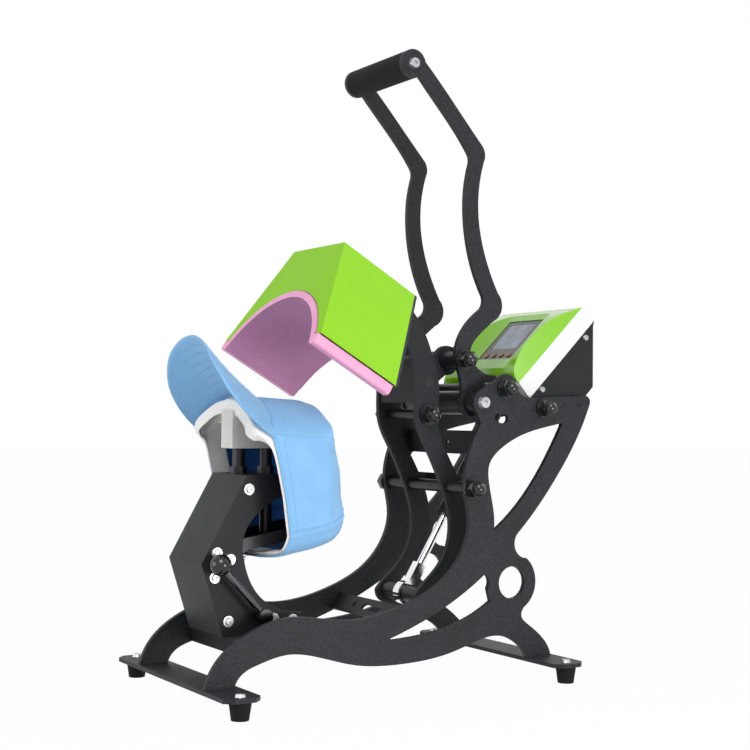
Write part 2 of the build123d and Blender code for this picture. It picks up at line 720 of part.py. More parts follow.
eye_bore = pin_radius + spring_eye_clearance
with BuildPart() as gas_piston_rod:
    with BuildSketch(spring_line.offset(cylinder_length - 30)):
        Circle(piston_rod_radius)
    extrude(amount=spring_length - eye_bore - 3 - cylinder_length + 30)
    with BuildSketch(spring_line.offset(spring_length - eye_bore - 26)):
        Rectangle(eye_width, 11)
    extrude(amount=24)
    with BuildSketch(side_view(-spring_eye_half)):
        with Locations((arm_foot_y, arm_foot_z)):
            Circle(eye_bore + 5)
    extrude(amount=2 * spring_eye_half)
    with BuildSketch(side_view(-spring_eye_half)):
        with Locations((arm_foot_y, arm_foot_z)):
            Circle(eye_bore)
    extrude(amount=2 * spring_eye_half, mode=Mode.SUBTRACT)
gas_piston_rod.part.label = "gas_piston_rod"
export_step(gas_piston_rod.part, "parts/gas_piston_rod.step")

# ------------------------------------------------------------------ pedestal
side_screws = [(-133.2, 193.2), (-165.2, 135.3), (-167.1, 113.3), (-153, 72.5), (-106, 72),
               (-86, 70)]
with BuildPart() as pedestal_side_right:
    with BuildSketch(side_view(pedestal_half - pedestal_plate)):
        with BuildLine():
            edge = Polyline((-76, deck_top), (-158.5, deck_top), (-180.5, 126),
                            (-136, pedestal_top_z), (-84, pedestal_top_z), (-84, 190))
            scoop = Spline(edge @ 1, (-106, 182.5), (-126.5, 168), (-138.5, 147),
                           (-137.5, 128), (-127, 101), (-113, 87))
            Spline(scoop @ 1, (-96, 79.5), (-76, 76))
            Line((-76, 76), edge @ 0)
        make_face()
        with Locations(*side_screws, (retractor_y, retractor_z), (lever_y, lever_z)):
            Circle(2.6, mode=Mode.SUBTRACT)
        with Locations((retractor_y, retractor_z), (lever_y, lever_z)):
            Circle(4 + running, mode=Mode.SUBTRACT)
    extrude(amount=pedestal_plate)
pedestal_side_right.part.label = "pedestal_side_right"
export_step(pedestal_side_right.part, "parts/pedestal_side_right.step")

with BuildPart() as pedestal_side_left:
    add(mirror(pedestal_side_right.part, about=Plane.YZ))
pedestal_side_left.part.label = "pedestal_side_left"
export_step(pedestal_side_left.part, "parts/pedestal_side_left.step")

pedestal_inner = pedestal_half - pedestal_plate
with BuildPart() as pedestal_front:
    with BuildSketch(side_view(-pedestal_inner)):
        with BuildLine():
            Polyline((-158.5, deck_top), (-180.5, 126), (-136, pedestal_top_z),
                     (-84, pedestal_top_z), (-84, pedestal_top_z - sheet),
                     (-134.4, pedestal_top_z - sheet), (-177.2, 125.6), (-155.4, deck_top),
                     (-158.5, deck_top))
        make_face()
    extrude(amount=2 * pedestal_inner)
    with BuildSketch(plan_view(pedestal_top_z)):
        with Locations((0, front_post_y), (0, rear_post_y)):
            Circle(post_radius + running)
    extrude(amount=-sheet, mode=Mode.SUBTRACT)
pedestal_front.part.label = "pedestal_front"
export_step(pedestal_front.part, "parts/pedestal_front.step")

with BuildPart() as pedestal_screws:
    for side in (-1, 1):
        for y, z in side_screws:
            add(tube_along_x(side * pedestal_half, side * (pedestal_half + 1), y, z, 5.2, 2.5))
            add(button_head(side * (pedestal_half + 1), y, z, side, 3.6, 2))
            add(rod_along_x(side * (pedestal_inner - 5), side * (pedestal_half + 1), y, z, 2.5))
pedestal_screws.part.label = "pedestal_screws"
export_step(pedestal_screws.part, "parts/pedestal_screws.step")

# ------------------------------------------------------------------ lower platen
def closed_section(setback):
    """The plane across the closed arch at a distance back from its front."""
    return Plane(closed_frame.from_local_coords(Vector(0, setback, 0)), x_dir=(1, 0, 0),
                 z_dir=-closed_frame.y_dir)


def closed_band(inner, outer, start, end, low):
    """A curved slab concentric with the closed arch, kept above height low."""
    with BuildPart() as band:
        with BuildSketch(closed_section(start)):
            with Locations((0, arch_centre_z)):
                Circle(outer)
                Circle(inner, mode=Mode.SUBTRACT)
            with Locations((0, low)):
                Rectangle(4 * outer, 4 * outer, align=(Align.CENTER, Align.MAX),
                          mode=Mode.SUBTRACT)
        extrude(amount=-(end - start))
    return band.part


cloth_outer = arch_radius - gap
cloth_inner = cloth_outer - cap_cloth
felt_outer = cloth_inner - band_cloth - gap
lower_outer = felt_outer - lower_felt
lower_inner = lower_outer - lower_wall
lower_front, lower_rear = 8.0, 75.0
lower_skirt = 10.0           # the lower platen reaches down to this local height
rib_z = lower_inner + arch_centre_z - 15
stem_z = closed_z + rib_z - 24
with BuildPart() as lower_platen:
    add(closed_band(lower_inner, lower_outer, lower_front, lower_rear, lower_skirt))
    for rib_start in (lower_front + 4, lower_rear - 12):
        with BuildSketch(closed_section(rib_start)):
            with Locations((0, arch_centre_z)):
                Circle(lower_inner + 1)
            with Locations((0, rib_z)):
                Rectangle(400, 400, align=(Align.CENTER, Align.MAX), mode=Mode.SUBTRACT)
        extrude(amount=-6)
    with BuildSketch(side_view(-12)):
        with BuildLine():
            stem_front, stem_rear = front_post_y - 13, rear_post_y + 13
            Polyline((stem_front, stem_z), (stem_front, closed_z + rib_z + 12),
                     (stem_rear + 24, closed_z + rib_z + 6), (stem_rear + 24, closed_z + rib_z - 6),
                     (stem_rear, stem_z), (stem_front, stem_z))
        make_face()
    extrude(amount=24)
lower_platen.part.label = "lower_platen"
export_step(lower_platen.part, "parts/lower_platen.step")

with BuildPart() as lower_felt_pad:
    add(closed_band(lower_outer, felt_outer, lower_front - 2, lower_rear, lower_skirt))
lower_felt_pad.part.label = "lower_felt_pad"
export_step(lower_felt_pad.part, "parts/lower_felt_pad.step")

post_foot_z = 150.0
with BuildPart() as platen_posts:
    for z, height in ((pedestal_top_z, 7), (pedestal_top_z - sheet - 9, 9)):
        with BuildSketch(plan_view(z)):
            with Locations((0, front_post_y), (0, rear_post_y)):
                RegularPolygon(post_radius + 2.2, 6)
        extrude(amount=height)
    with BuildSketch(plan_view(post_foot_z)):
        with Locations((0, front_post_y), (0, rear_post_y)):
            Circle(post_radius)
    extrude(amount=stem_z - post_foot_z)
platen_posts.part.label = "platen_posts"
export_step(platen_posts.part, "parts/platen_posts.step")

# ------------------------------------------------------------------ cap retractor
bar_inner = pedestal_inner - 6
bar_path = [(retractor_y, retractor_z), (-133.0, 142.0), (-60.0, 154.0)]
hook_y, hook_z = -118.0, 142.0
with BuildPart() as retractor:
    for side in (-1, 1):
        with BuildSketch(side_view(side * bar_inner)):
            for (y0, z0), (y1, z1) in zip(bar_path, bar_path[1:]):
                heading = degrees(atan2(z1 - z0, y1 - y0))
                with Locations(Location(((y0 + y1) / 2, (z0 + z1) / 2), heading)):
                    SlotCenterToCenter(hypot(y1 - y0, z1 - z0), 11)
            with Locations(bar_path[0]):
                Circle(8)
                Circle(4 + running, mode=Mode.SUBTRACT)
        extrude(amount=side * 3)
    add(rod_along_x(-bar_inner - 18, bar_inner + 18, *bar_path[-1], 4))
    add(rod_along_x(-bar_inner, bar_inner, hook_y, hook_z, 2.5))
retractor.part.label = "retractor"
export_step(retractor.part, "parts/retractor.step")

coil_radius, wire_radius = 3.6, 0.7
spring_foot_y, spring_foot_z = hook_y - 12, hook_z - 38
coil_dy, coil_dz = hook_y - spring_foot_y, hook_z - 3.6 - spring_foot_z
coil_span = hypot(coil_dy, coil_dz)
with BuildPart() as return_spring:
    with BuildSketch(aimed(0, spring_foot_y, spring_foot_z, degrees(atan2(coil_dz, coil_dy)))):
        Circle(coil_radius + wire_radius)
        Circle(coil_radius - wire_radius, mode=Mode.SUBTRACT)
    extrude(amount=coil_span)
return_spring.part.label = "return_spring"
export_step(return_spring.part, "parts/return_spring.step")

with BuildPart() as retractor_pins:
    add(rod_along_x(-pedestal_half - 3, pedestal_half + 3, retractor_y, retractor_z, 4))
    for side in (-1, 1):
        add(button_head(side * (pedestal_half + 0.2), retractor_y, retractor_z, side, 6, 3))
    add(rod_along_x(-pedestal_inner, pedestal_inner, spring_foot_y, spring_foot_z - 3, 2.5))
retractor_pins.part.label = "retractor_pins"
export_step(retractor_pins.part, "parts/retractor_pins.step")

# ------------------------------------------------------------------ clamp lever
lever_c, lever_s = cos(radians(lever_angle)), sin(radians(lever_angle))
lever_x = pedestal_half + 14
knob_y, knob_z = lever_y + lever_length * lever_c, lever_z + lever_length * lever_s
with BuildPart() as clamp_lever:
    add(rod_along_x(-pedestal_half - 2, lever_x + 5, lever_y, lever_z, 4))
    add(rod_along_x(lever_x - 5, lever_x + 5, lever_y, lever_z, 7))
    lever_line = aimed(lever_x, lever_y, lever_z, lever_angle)
    with BuildSketch(lever_line):
        Circle(3)
    extrude(amount=lever_length)
clamp_lever.part.label = "clamp_lever"
export_step(clamp_lever.part, "parts/clamp_lever.step")

with BuildPart() as ball_knob:
    with Locations((lever_x, knob_y - centre_y, knob_z)):
        Sphere(knob_radius)
    with BuildSketch(lever_line):
        Circle(3 + running)
    extrude(amount=lever_length + 0.1, mode=Mode.SUBTRACT)
ball_knob.part.label = "ball_knob"
export_step(ball_knob.part, "parts/ball_knob.step")

# ------------------------------------------------------------------ control box
slope_c, slope_s = cos(radians(box_tilt)), sin(radians(box_tilt))


def box_section(x):
    """The side-view plane of the control box at x: sketch x up the slope, y out of it."""
    return Plane(origin=(x, box_y - centre_y, box_z), x_dir=(0, slope_c, slope_s),
                 z_dir=(1, 0, 0))


with BuildPart() as box_base:
    with BuildSketch(side_view(-box_half)):
        with BuildLine():
            top_y, top_z = box_y + box_length * slope_c, box_z + box_length * slope_s
            Polyline((box_y, box_z), (top_y, top_z), (box_back_y, top_z - 6),
                     (box_back_y, box_z + 13), (box_back_y - 10, box_z + 3),
                     (box_back_y - 14, box_z), (box_y, box_z))
        make_face()
    extrude(amount=2 * box_half)
    sloped = faces().filter_by(lambda f: f.normal_at().Z > 0.5).sort_by(SortBy.AREA)[-1]
    offset(amount=-box_wall, openings=sloped)
    for side in (-1, 1):
        with BuildSketch(side_view(side * box_half)):
            with Locations((216.5, box_z - 6)):
                Rectangle(36, 14)
            with Locations(*frame_screws):
                Circle(2.1, mode=Mode.SUBTRACT)
        extrude(amount=-side * box_wall)
        with BuildSketch(side_view(side * box_half)):
            with Locations(*box_side_screws):
                Circle(1.85)
        extrude(amount=-side * 6, mode=Mode.SUBTRACT)
    with BuildSketch(front_view(box_back_y)):
        with Locations((20, box_z + 34)):
            Rectangle(54.4, 20.4)
    extrude(amount=10, both=True, mode=Mode.SUBTRACT)
box_base.part.label = "box_base"
export_step(box_base.part, "parts/box_base.step")

with BuildPart() as box_band:
    with BuildSketch(box_frame):
        with Locations((0, box_length / 2)):
            Rectangle(2 * box_half, box_length)
    extrude(amount=band_height, taper=5)
    with BuildSketch(box_frame):
        with Locations((0, box_length / 2)):
            Rectangle(2 * box_half - 5, box_length - 5)
    extrude(amount=band_height, taper=5, mode=Mode.SUBTRACT)
box_band.part.label = "box_band"
export_step(box_band.part, "parts/box_band.step")

cover_inset = band_height * 0.0875
cheek_foot = box_half - cover_inset
cheek_top, cheek_z = cheek_foot - 18, 44.0
with BuildPart() as box_cover:
    with BuildSketch(box_section(-box_half + cover_inset)):
        with BuildLine():
            sill = Line((box_length - cover_inset, band_height), (cover_inset, band_height))
            Spline(sill @ 1, (6, 27), (19, 33), (38, 36.5), (62, 36.5), (86, 33), (106, 25.5),
                   sill @ 0)
        make_face()
    extrude(amount=2 * (box_half - cover_inset))
    with BuildSketch(Plane(origin=box_frame.origin, x_dir=(1, 0, 0), z_dir=-box_frame.y_dir)):
        with BuildLine():
            Polyline((cheek_foot, band_height), (cheek_top, cheek_z), (-cheek_top, cheek_z),
                     (-cheek_foot, band_height), (cheek_foot, band_height))
        make_face()
    extrude(amount=-box_length, mode=Mode.INTERSECT)
    with BuildSketch(Plane(origin=box_frame.from_local_coords(Vector(0, 13, 0)),
                           x_dir=(1, 0, 0), z_dir=-box_frame.y_dir)):
        with BuildLine():
            trough = Spline((panel_half + 1, panel_z), (panel_half + 9, panel_z + 2),
                            (panel_half + 18, panel_z + 6.5), (cheek_foot - 5, 48))
            Polyline(trough @ 1, (cheek_foot, 60), (-cheek_foot, 60), (5 - cheek_foot, 48))
            Spline((5 - cheek_foot, 48), (-panel_half - 18, panel_z + 6.5),
                   (-panel_half - 9, panel_z + 2), (-panel_half - 1, panel_z))
            Line((-panel_half - 1, panel_z), trough @ 0)
        make_face()
    extrude(amount=-box_length, mode=Mode.SUBTRACT)
    with BuildSketch(box_frame.offset(band_height)):
        with Locations((0, box_length / 2)):
            Rectangle(2 * box_half - 14, box_length - 14)
    extrude(amount=3, mode=Mode.SUBTRACT)
    with BuildSketch(box_frame.offset(band_height)):
        with Locations((0, (panel_start + panel_end) / 2)):
            Rectangle(2 * panel_half + 0.4, panel_end - panel_start + 0.4)
    extrude(amount=20, mode=Mode.SUBTRACT)
box_cover.part.label = "box_cover"
export_step(box_cover.part, "parts/box_cover.step")

button_places = [((i - 1.5) * button_pitch, button_line) for i in range(4)]
window_half, window_start, window_end = 22.0, 50.0, 89.0
with BuildPart() as display_panel:
    with BuildSketch(box_frame.offset(panel_z - 3.2)):
        with Locations((0, (panel_start + panel_end) / 2)):
            Rectangle(2 * panel_half, panel_end - panel_start)
        with Locations((0, (window_start + window_end) / 2)):
            Rectangle(2 * window_half, window_end - window_start, mode=Mode.SUBTRACT)
        with Locations(*button_places):
            Circle(button_radius + 0.15, mode=Mode.SUBTRACT)
    extrude(amount=2.4)
display_panel.part.label = "display_panel"
export_step(display_panel.part, "parts/display_panel.step")

with BuildPart() as display_window:
    with BuildSketch(box_frame.offset(panel_z - 3.0)):
        with Locations((0, (window_start + window_end) / 2)):
            Rectangle(2 * window_half - 0.2, window_end - window_start - 0.2)
    extrude(amount=2.0)
display_window.part.label = "display_window"
export_step(display_window.part, "parts/display_window.step")

with BuildPart() as circuit_board:
    with BuildSketch(box_frame.offset(14)):
        with Locations((0, box_length / 2)):
            Rectangle(2 * box_half - 14, 84)
    extrude(amount=1.6)
    with BuildSketch(box_frame.offset(15.6)):
        with Locations((0, box_length / 2)):
            with GridLocations(2 * (panel_half + 12), 70, 2, 2):
                Circle(3)
    extrude(amount=band_height + 3 - 15.6)
circuit_board.part.label = "circuit_board"
export_step(circuit_board.part, "parts/circuit_board.step")

for index, (x, y) in enumerate(button_places, start=1):
    with BuildPart() as push_button:
        with BuildSketch(box_frame.offset(panel_z - 2.6)):
            with Locations((x, y)):
                Circle(button_radius)
        extrude(amount=2.9)
    push_button.part.label = f"push_button_{index}"
    export_step(push_button.part, f"parts/push_button_{index}.step")

module_x, module_z = 20.0, box_z + 34
socket_x, rocker_x = module_x + 13, module_x - 15
rocker_half, rocker_height = 8.4, 11.0
with BuildPart() as power_inlet:
    with BuildSketch(front_view(box_back_y)):
        with Locations((module_x, module_z)):
            Rectangle(60, 26)
        with Locations((socket_x, module_z)):
            Rectangle(22, 15, mode=Mode.SUBTRACT)
        with Locations((rocker_x, module_z)):
            Rectangle(2 * rocker_half + 0.6, rocker_height + 0.6, mode=Mode.SUBTRACT)
    extrude(amount=-2)
    with BuildSketch(front_view(box_back_y)):
        with Locations((module_x, module_z)):
            Rectangle(54, 20)
        with Locations((socket_x, module_z)):
            Rectangle(22, 15, mode=Mode.SUBTRACT)
        with Locations((rocker_x, module_z)):
            Rectangle(2 * rocker_half + 0.6, rocker_height + 0.6, mode=Mode.SUBTRACT)
    extrude(amount=20)
    with BuildSketch(front_view(box_back_y - 20)):
        with Locations((module_x, module_z)):
            Rectangle(54, 20)
    extrude(amount=2)
    with BuildSketch(front_view(box_back_y - 20)):
        with Locations(*[(socket_x + dx, module_z + dz) for dx, dz in ((-6, -2), (0, 3), (6, -2))]):
            Rectangle(2, 4)
    extrude(amount=-14)
power_inlet.part.label = "power_inlet"
export_step(power_inlet.part, "parts/power_inlet.step")

with BuildPart() as power_rocker:
    with BuildSketch(side_view(rocker_x - rocker_half)):
        with BuildLine():
            low, high = module_z - rocker_height / 2, module_z + rocker_height / 2
            Polyline((box_back_y - 5, low + 1), (box_back_y + 2.2, low + 0.3),
                     (box_back_y + 2.8, module_z), (box_back_y + rocker_stand, high - 0.4),
                     (box_back_y - 4, high - 1), (box_back_y - 5, low + 1))
        make_face()
    extrude(amount=2 * rocker_half)
power_rocker.part.label = "power_rocker"
export_step(power_rocker.part, "parts/power_rocker.step")

with BuildPart() as box_screws:
    for side in (-1, 1):
        for y, z in box_side_screws:
            add(button_head(side * box_half, y, z, side, 3.4, 1.8))
            add(rod_along_x(side * (box_half - box_wall - 3), side * box_half, y, z, 1.8))
        for y, z in frame_screws:
            add(rod_along_x(side * (box_half - box_wall - 2), side * (frame_width / 2 - 0.5),
                            y, z, 2))
            add(rod_along_x(side * box_half, side * frame_inner, y, z, 4.5))
box_screws.part.label = "box_screws"
export_step(box_screws.part, "parts/box_screws.step")

# ------------------------------------------------------------------ cap
rim_y, rim_z = -135.3, 280.8


def crown_solid(inset, back_inset):
    """The crown as one solid: its front, side and top views cut out of each other."""
    radius, half = cloth_outer - inset, cap_half - inset
    shoulder = arch_centre_z + sqrt(radius ** 2 - half ** 2)
    floor = cap_floor_z - closed_z + inset
    with BuildPart() as body:
        with BuildSketch(closed_section(-30)):
            with BuildLine():
                ThreePointArc((-half, shoulder), (0, arch_centre_z + radius), (half, shoulder))
                Line((half, shoulder), (half - 2, floor + 36))
                Spline((half - 2, floor + 36), (half * 0.66, floor + 9), (0, floor + 3),
                       (-half * 0.66, floor + 9), (2 - half, floor + 36),
                       tangents=((0, -1), (0, 1)))
                Line((2 - half, floor + 36), (-half, shoulder))
            make_face()
        extrude(amount=-160)
        with BuildSketch(side_view(-100)):
            with BuildLine():
                opening = Polyline((-96 - inset, 100), (-108 - inset, 131),
                                   (-120 - inset, 225), (rim_y - inset, 300))
                crown = Line(opening @ 1, (-70, 300))
                back = cap_back_y - back_inset
                rear = Spline(crown @ 1, (back - 25, 268), (back - 14, 240),
                              (back - 3, 208), (back, 176), (back - 1, 150),
                              (back - 14, 133 + inset), (back - 46, 125 + inset), opening @ 0)
            make_face()
        extrude(amount=200, mode=Mode.INTERSECT)
        with BuildSketch(plan_view(90)):
            with BuildLine():
                flank = cap_back_y - 50
                Line((half + 1, flank), (half + 1, rim_y - 30))
                Line((half + 1, rim_y - 30), (-half - 1, rim_y - 30))
                Line((-half - 1, rim_y - 30), (-half - 1, flank))
                Spline((-half - 1, flank), (-half * 0.86, flank + 30),
                       (0, cap_back_y - back_inset), (half * 0.86, flank + 30),
                       (half + 1, flank), tangents=((0, 1), (0, -1)))
            make_face()
        extrude(amount=240, mode=Mode.INTERSECT)
    return body.part


crown_outside = crown_solid(0, 0)
crown_inside = crown_solid(cap_cloth, cap_cloth)
with BuildPart() as cap_crown:
    add(crown_outside)
    add(crown_inside, mode=Mode.SUBTRACT)
cap_crown.part.label = "cap_crown"
export_step(cap_crown.part, "parts/cap_crown.step")

with BuildPart() as cap_sweatband:
    add(crown_inside)
    add(crown_solid(cap_cloth + band_cloth, cap_cloth + band_cloth), mode=Mode.SUBTRACT)
    with BuildSketch(side_view(-100)):
        with BuildLine():
            Polyline((-150, 110), (-108 + band_depth, 110), (-120 + band_depth, 225),
                     (rim_y + band_depth, 300), (-150, 300), (-150, 110))
        make_face()
    extrude(amount=200, mode=Mode.INTERSECT)
    with BuildSketch(side_view(-100)):
        with BuildLine():
            Polyline((-99, 110), (-108, 131), (-120, 225), (rim_y, 282), (rim_y, 300),
                     (-160, 300), (-160, 110), (-99, 110))
        make_face()
    extrude(amount=200, mode=Mode.SUBTRACT)
cap_sweatband.part.label = "cap_sweatband"
export_step(cap_sweatband.part, "parts/cap_sweatband.step")

brim_root = 22.0             # the brim's cloth starts this far behind the rim, then is cut
with BuildPart() as cap_brim:
    root_drop = brim_root * tan(radians(brim_pitch))
    with BuildSketch(front_view(rim_y + brim_root)):
        with Locations((0, rim_z - cloth_outer - root_drop)):
            Circle(cloth_outer)
            Circle(cloth_outer - brim_thickness, mode=Mode.SUBTRACT)
        with Locations((0, rim_z - 45 - root_drop)):
            Rectangle(300, 300, align=(Align.CENTER, Align.MAX), mode=Mode.SUBTRACT)
    extrude(amount=190, dir=(0, -cos(radians(brim_pitch)), sin(radians(brim_pitch))))
    brim_plane = Plane(origin=(0, rim_y - centre_y, rim_z), x_dir=(1, 0, 0),
                       z_dir=(0, -sin(radians(brim_pitch)), -cos(radians(brim_pitch))))
    with BuildSketch(brim_plane):
        tongue = brim_length - 14
        with Locations((0, 14)):
            Ellipse(cap_half, tongue)
            Rectangle(2 * cap_half, 100, align=(Align.CENTER, Align.MAX))
    extrude(amount=90, both=True, mode=Mode.INTERSECT)
    with BuildSketch(side_view(-100)):
        with BuildLine():
            Polyline((-108, 131), (-120, 225), (rim_y, 300), (0, 300), (0, 131), (-108, 131))
        make_face()
    extrude(amount=200, mode=Mode.SUBTRACT)
    with BuildSketch(closed_section(lower_front - 2 - gap)):
        with Locations((0, arch_centre_z)):
            Circle(felt_outer + gap)
    extrude(amount=-60, mode=Mode.SUBTRACT)
cap_brim.part.label = "cap_brim"
export_step(cap_brim.part, "parts/cap_brim.step")
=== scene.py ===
"""Looks of the cap heat press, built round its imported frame.

Metres, in the frame of the CAD part: -Y is the operator's side and +Z is up.
"""
from math import cos, pi, radians, sin

import bmesh
import bpy
import numpy as np
from mathutils import Matrix, Vector


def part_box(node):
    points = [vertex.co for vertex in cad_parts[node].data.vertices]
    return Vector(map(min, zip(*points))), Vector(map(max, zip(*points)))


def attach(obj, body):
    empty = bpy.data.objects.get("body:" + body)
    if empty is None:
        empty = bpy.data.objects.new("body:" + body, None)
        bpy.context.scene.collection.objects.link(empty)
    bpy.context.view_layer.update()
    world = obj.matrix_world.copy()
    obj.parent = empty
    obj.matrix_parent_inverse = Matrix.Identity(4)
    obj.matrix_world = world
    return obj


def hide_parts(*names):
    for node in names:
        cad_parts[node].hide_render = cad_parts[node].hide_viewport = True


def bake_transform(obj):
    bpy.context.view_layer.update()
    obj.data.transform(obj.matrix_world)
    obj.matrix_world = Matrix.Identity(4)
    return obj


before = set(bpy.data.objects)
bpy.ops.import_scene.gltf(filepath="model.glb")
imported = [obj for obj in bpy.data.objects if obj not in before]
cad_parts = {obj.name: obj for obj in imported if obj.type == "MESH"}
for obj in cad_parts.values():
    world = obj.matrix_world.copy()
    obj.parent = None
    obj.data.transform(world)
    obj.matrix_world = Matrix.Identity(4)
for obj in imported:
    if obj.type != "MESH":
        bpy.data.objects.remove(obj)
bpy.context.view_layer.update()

# ---------------------------------------------------------------- side frames, handle and arms
# Laser-cut steel plates in a black powder coat with a fine sand texture.  The coat is a
# little thinner and greyer where a plate is handled, and it catches the light in specks.


def shader_group(name, inputs, outputs):
    """An empty node group with float, colour or vector sockets; returns it with its two ends."""
    group = bpy.data.node_groups.new(name, "ShaderNodeTree")
    kinds = {"f": "NodeSocketFloat", "c": "NodeSocketColor", "v": "NodeSocketVector"}
    for label, kind, value in inputs:
        socket = group.interface.new_socket(label, in_out="INPUT", socket_type=kinds[kind])
        if value is not None:
            socket.default_value = value
    for label, kind in outputs:
        group.interface.new_socket(label, in_out="OUTPUT", socket_type=kinds[kind])
    return group, group.nodes.new("NodeGroupInput"), group.nodes.new("NodeGroupOutput")


def noise(tree, coords, scale, detail=2.0, roughness=0.5):
    """A 3-D noise in object space, as many lumps to the metre as its scale says."""
    node = tree.nodes.new("ShaderNodeTexNoise")
    node.inputs["Scale"].default_value = scale
    node.inputs["Detail"].default_value = detail
    node.inputs["Roughness"].default_value = roughness
    tree.links.new(coords, node.inputs["Vector"])
    return node


def mix_colour(tree, factor, first, second, blend="MIX"):
    """A colour mix whose sides are sockets or plain colours."""
    node = tree.nodes.new("ShaderNodeMix")
    node.data_type = "RGBA"
    node.blend_type = blend
    for value, socket in ((factor, node.inputs[0]), (first, node.inputs[6]),
                          (second, node.inputs[7])):
        if isinstance(value, bpy.types.NodeSocket):
            tree.links.new(value, socket)
        else:
            socket.default_value = value
    return node.outputs[2]


def ranged(tree, value, low, high, to_low, to_high):
    """A value mapped from one range to another, and kept inside it."""
    node = tree.nodes.new("ShaderNodeMapRange")
    for socket, number in zip(node.inputs[1:5], (low, high, to_low, to_high)):
        socket.default_value = number
    tree.links.new(value, node.inputs[0])
    return node.outputs[0]


def make_grain_group():
    """Grain: fine lumps for the normal, and slow patches for colour and roughness."""
    group, start, end = shader_group(
        "grain",
        [("Colour", "c", (0.5, 0.5, 0.5, 1)), ("Patch Colour", "c", (0.5, 0.5, 0.5, 1)),
         ("Scale", "f", 900.0), ("Height", "f", 0.3), ("Roughness", "f", 0.5),
         ("Patches", "f", 14.0), ("Specks", "f", 1.0)],
        [("Colour", "c"), ("Roughness", "f"), ("Normal", "v")])
    coords = group.nodes.new("ShaderNodeTexCoord").outputs["Object"]
    lumps = noise(group, coords, 900.0, 3.0, 0.6)
    patches = noise(group, coords, 14.0, 4.0, 0.6)
    group.links.new(start.outputs["Scale"], lumps.inputs["Scale"])
    group.links.new(start.outputs["Patches"], patches.inputs["Scale"])
    bump = group.nodes.new("ShaderNodeBump")
    bump.inputs["Distance"].default_value = 0.0006
    group.links.new(start.outputs["Height"], bump.inputs["Strength"])
    group.links.new(lumps.outputs["Fac"], bump.inputs["Height"])
    group.links.new(bump.outputs["Normal"], end.inputs["Normal"])
    share = ranged(group, patches.outputs["Fac"], 0.35, 0.65, 0.0, 1.0)
    tone = mix_colour(group, share, start.outputs["Colour"], start.outputs["Patch Colour"])
    speck = group.nodes.new("ShaderNodeMath")
    speck.operation = "MULTIPLY_ADD"
    group.links.new(ranged(group, lumps.outputs["Fac"], 0.3, 0.75, -0.3, 0.5), speck.inputs[0])
    group.links.new(start.outputs["Specks"], speck.inputs[1])
    speck.inputs[2].default_value = 1.0
    specked = group.nodes.new("ShaderNodeVectorMath")
    specked.operation = "SCALE"
    group.links.new(tone, specked.inputs[0])
    group.links.new(speck.outputs[0], specked.inputs["Scale"])
    group.links.new(specked.outputs[0], end.inputs["Colour"])
    spread = ranged(group, patches.outputs["Fac"], 0.3, 0.7, -0.05, 0.07)
    add = group.nodes.new("ShaderNodeMath")
    group.links.new(spread, add.inputs[0])
    group.links.new(start.outputs["Roughness"], add.inputs[1])
    group.links.new(add.outputs[0], end.inputs["Roughness"])
    return group


grain_group = make_grain_group()


def new_material(name):
    """A material with one Principled shader; returns the material, its tree and the shader."""
    material = bpy.data.materials.new(name)
    material.use_nodes = True
    return material, material.node_tree, material.node_tree.nodes["Principled BSDF"]


def grained(name, colour, patch, scale, height, roughness, patches=14.0, specks=0.3,
            **sockets):
    """A finish made of the grain group; sockets are constants on the shader itself."""
    material, tree, shader = new_material(name)
    grain = tree.nodes.new("ShaderNodeGroup")
    grain.node_tree = grain_group
    for label, value in (("Colour", (*colour, 1)), ("Patch Colour", (*patch, 1)),
                         ("Scale", scale), ("Height", height), ("Roughness", roughness),
                         ("Patches", patches), ("Specks", specks)):
        grain.inputs[label].default_value = value
    tree.links.new(grain.outputs["Colour"], shader.inputs["Base Color"])
    tree.links.new(grain.outputs["Roughness"], shader.inputs["Roughness"])
    tree.links.new(grain.outputs["Normal"], shader.inputs["Normal"])
    for label, value in sockets.items():
        shader.inputs[label.replace("_", " ")].default_value = value
    return material


def dress(material, *nodes):
    """Give CAD nodes a material in place of their plain one."""
    for name in nodes:
        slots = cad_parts[name].data.materials
        slots.clear()
        slots.append(material)


def dress_where(material, node, test):
    """Give a CAD node a second material on faces whose centres and normals pass a test."""
    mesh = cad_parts[node].data
    place = np.array(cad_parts[node].matrix_world)
    mesh.materials.append(material)
    centres, normals = (np.empty(len(mesh.polygons) * 3) for _ in range(2))
    mesh.polygons.foreach_get("center", centres)
    mesh.polygons.foreach_get("normal", normals)
    chosen = test(centres.reshape(-1, 3) @ place[:3, :3].T + place[:3, 3],
                  normals.reshape(-1, 3) @ place[:3, :3].T).astype(np.int32)
    mesh.polygons.foreach_set("material_index", chosen * (len(mesh.materials) - 1))


sand_coat = grained("sand_coat", (0.0105, 0.0110, 0.0138), (0.0150, 0.0158, 0.0195), 480.0,
                    1.0, 0.50, specks=1.9, Specular_IOR_Level=0.26)
dress(sand_coat, "side_frame_left", "side_frame_right", "front_foot_bar", "rear_foot_bar",
      "handle_arm_left", "handle_arm_right", "platen_arm_left", "platen_arm_right",
      "toggle_link")

# ---------------------------------------------------------------- cross plates and pedestal
# Cut and bent 3 mm steel sheet, spot welded or screwed between the side frames and the
# arms, in the same black but a smoother coat.

sheet_coat = grained("sheet_coat", (0.0100, 0.0105, 0.0125), (0.0125, 0.0130, 0.0150), 1500.0,
                     0.35, 0.46, specks=0.6, Specular_IOR_Level=0.22)
dress(sheet_coat, "front_deck", "cross_plates", "arm_web", "pedestal_front",
      "pedestal_side_left", "pedestal_side_right", "platen_carrier")

# ---------------------------------------------------------------- rods, pins and posts
# Turned steel rods and tubes, blacked in an oil bath, with slow patches and a soft shine.
# The clamp lever is bent from polished rod and blacked afterwards.

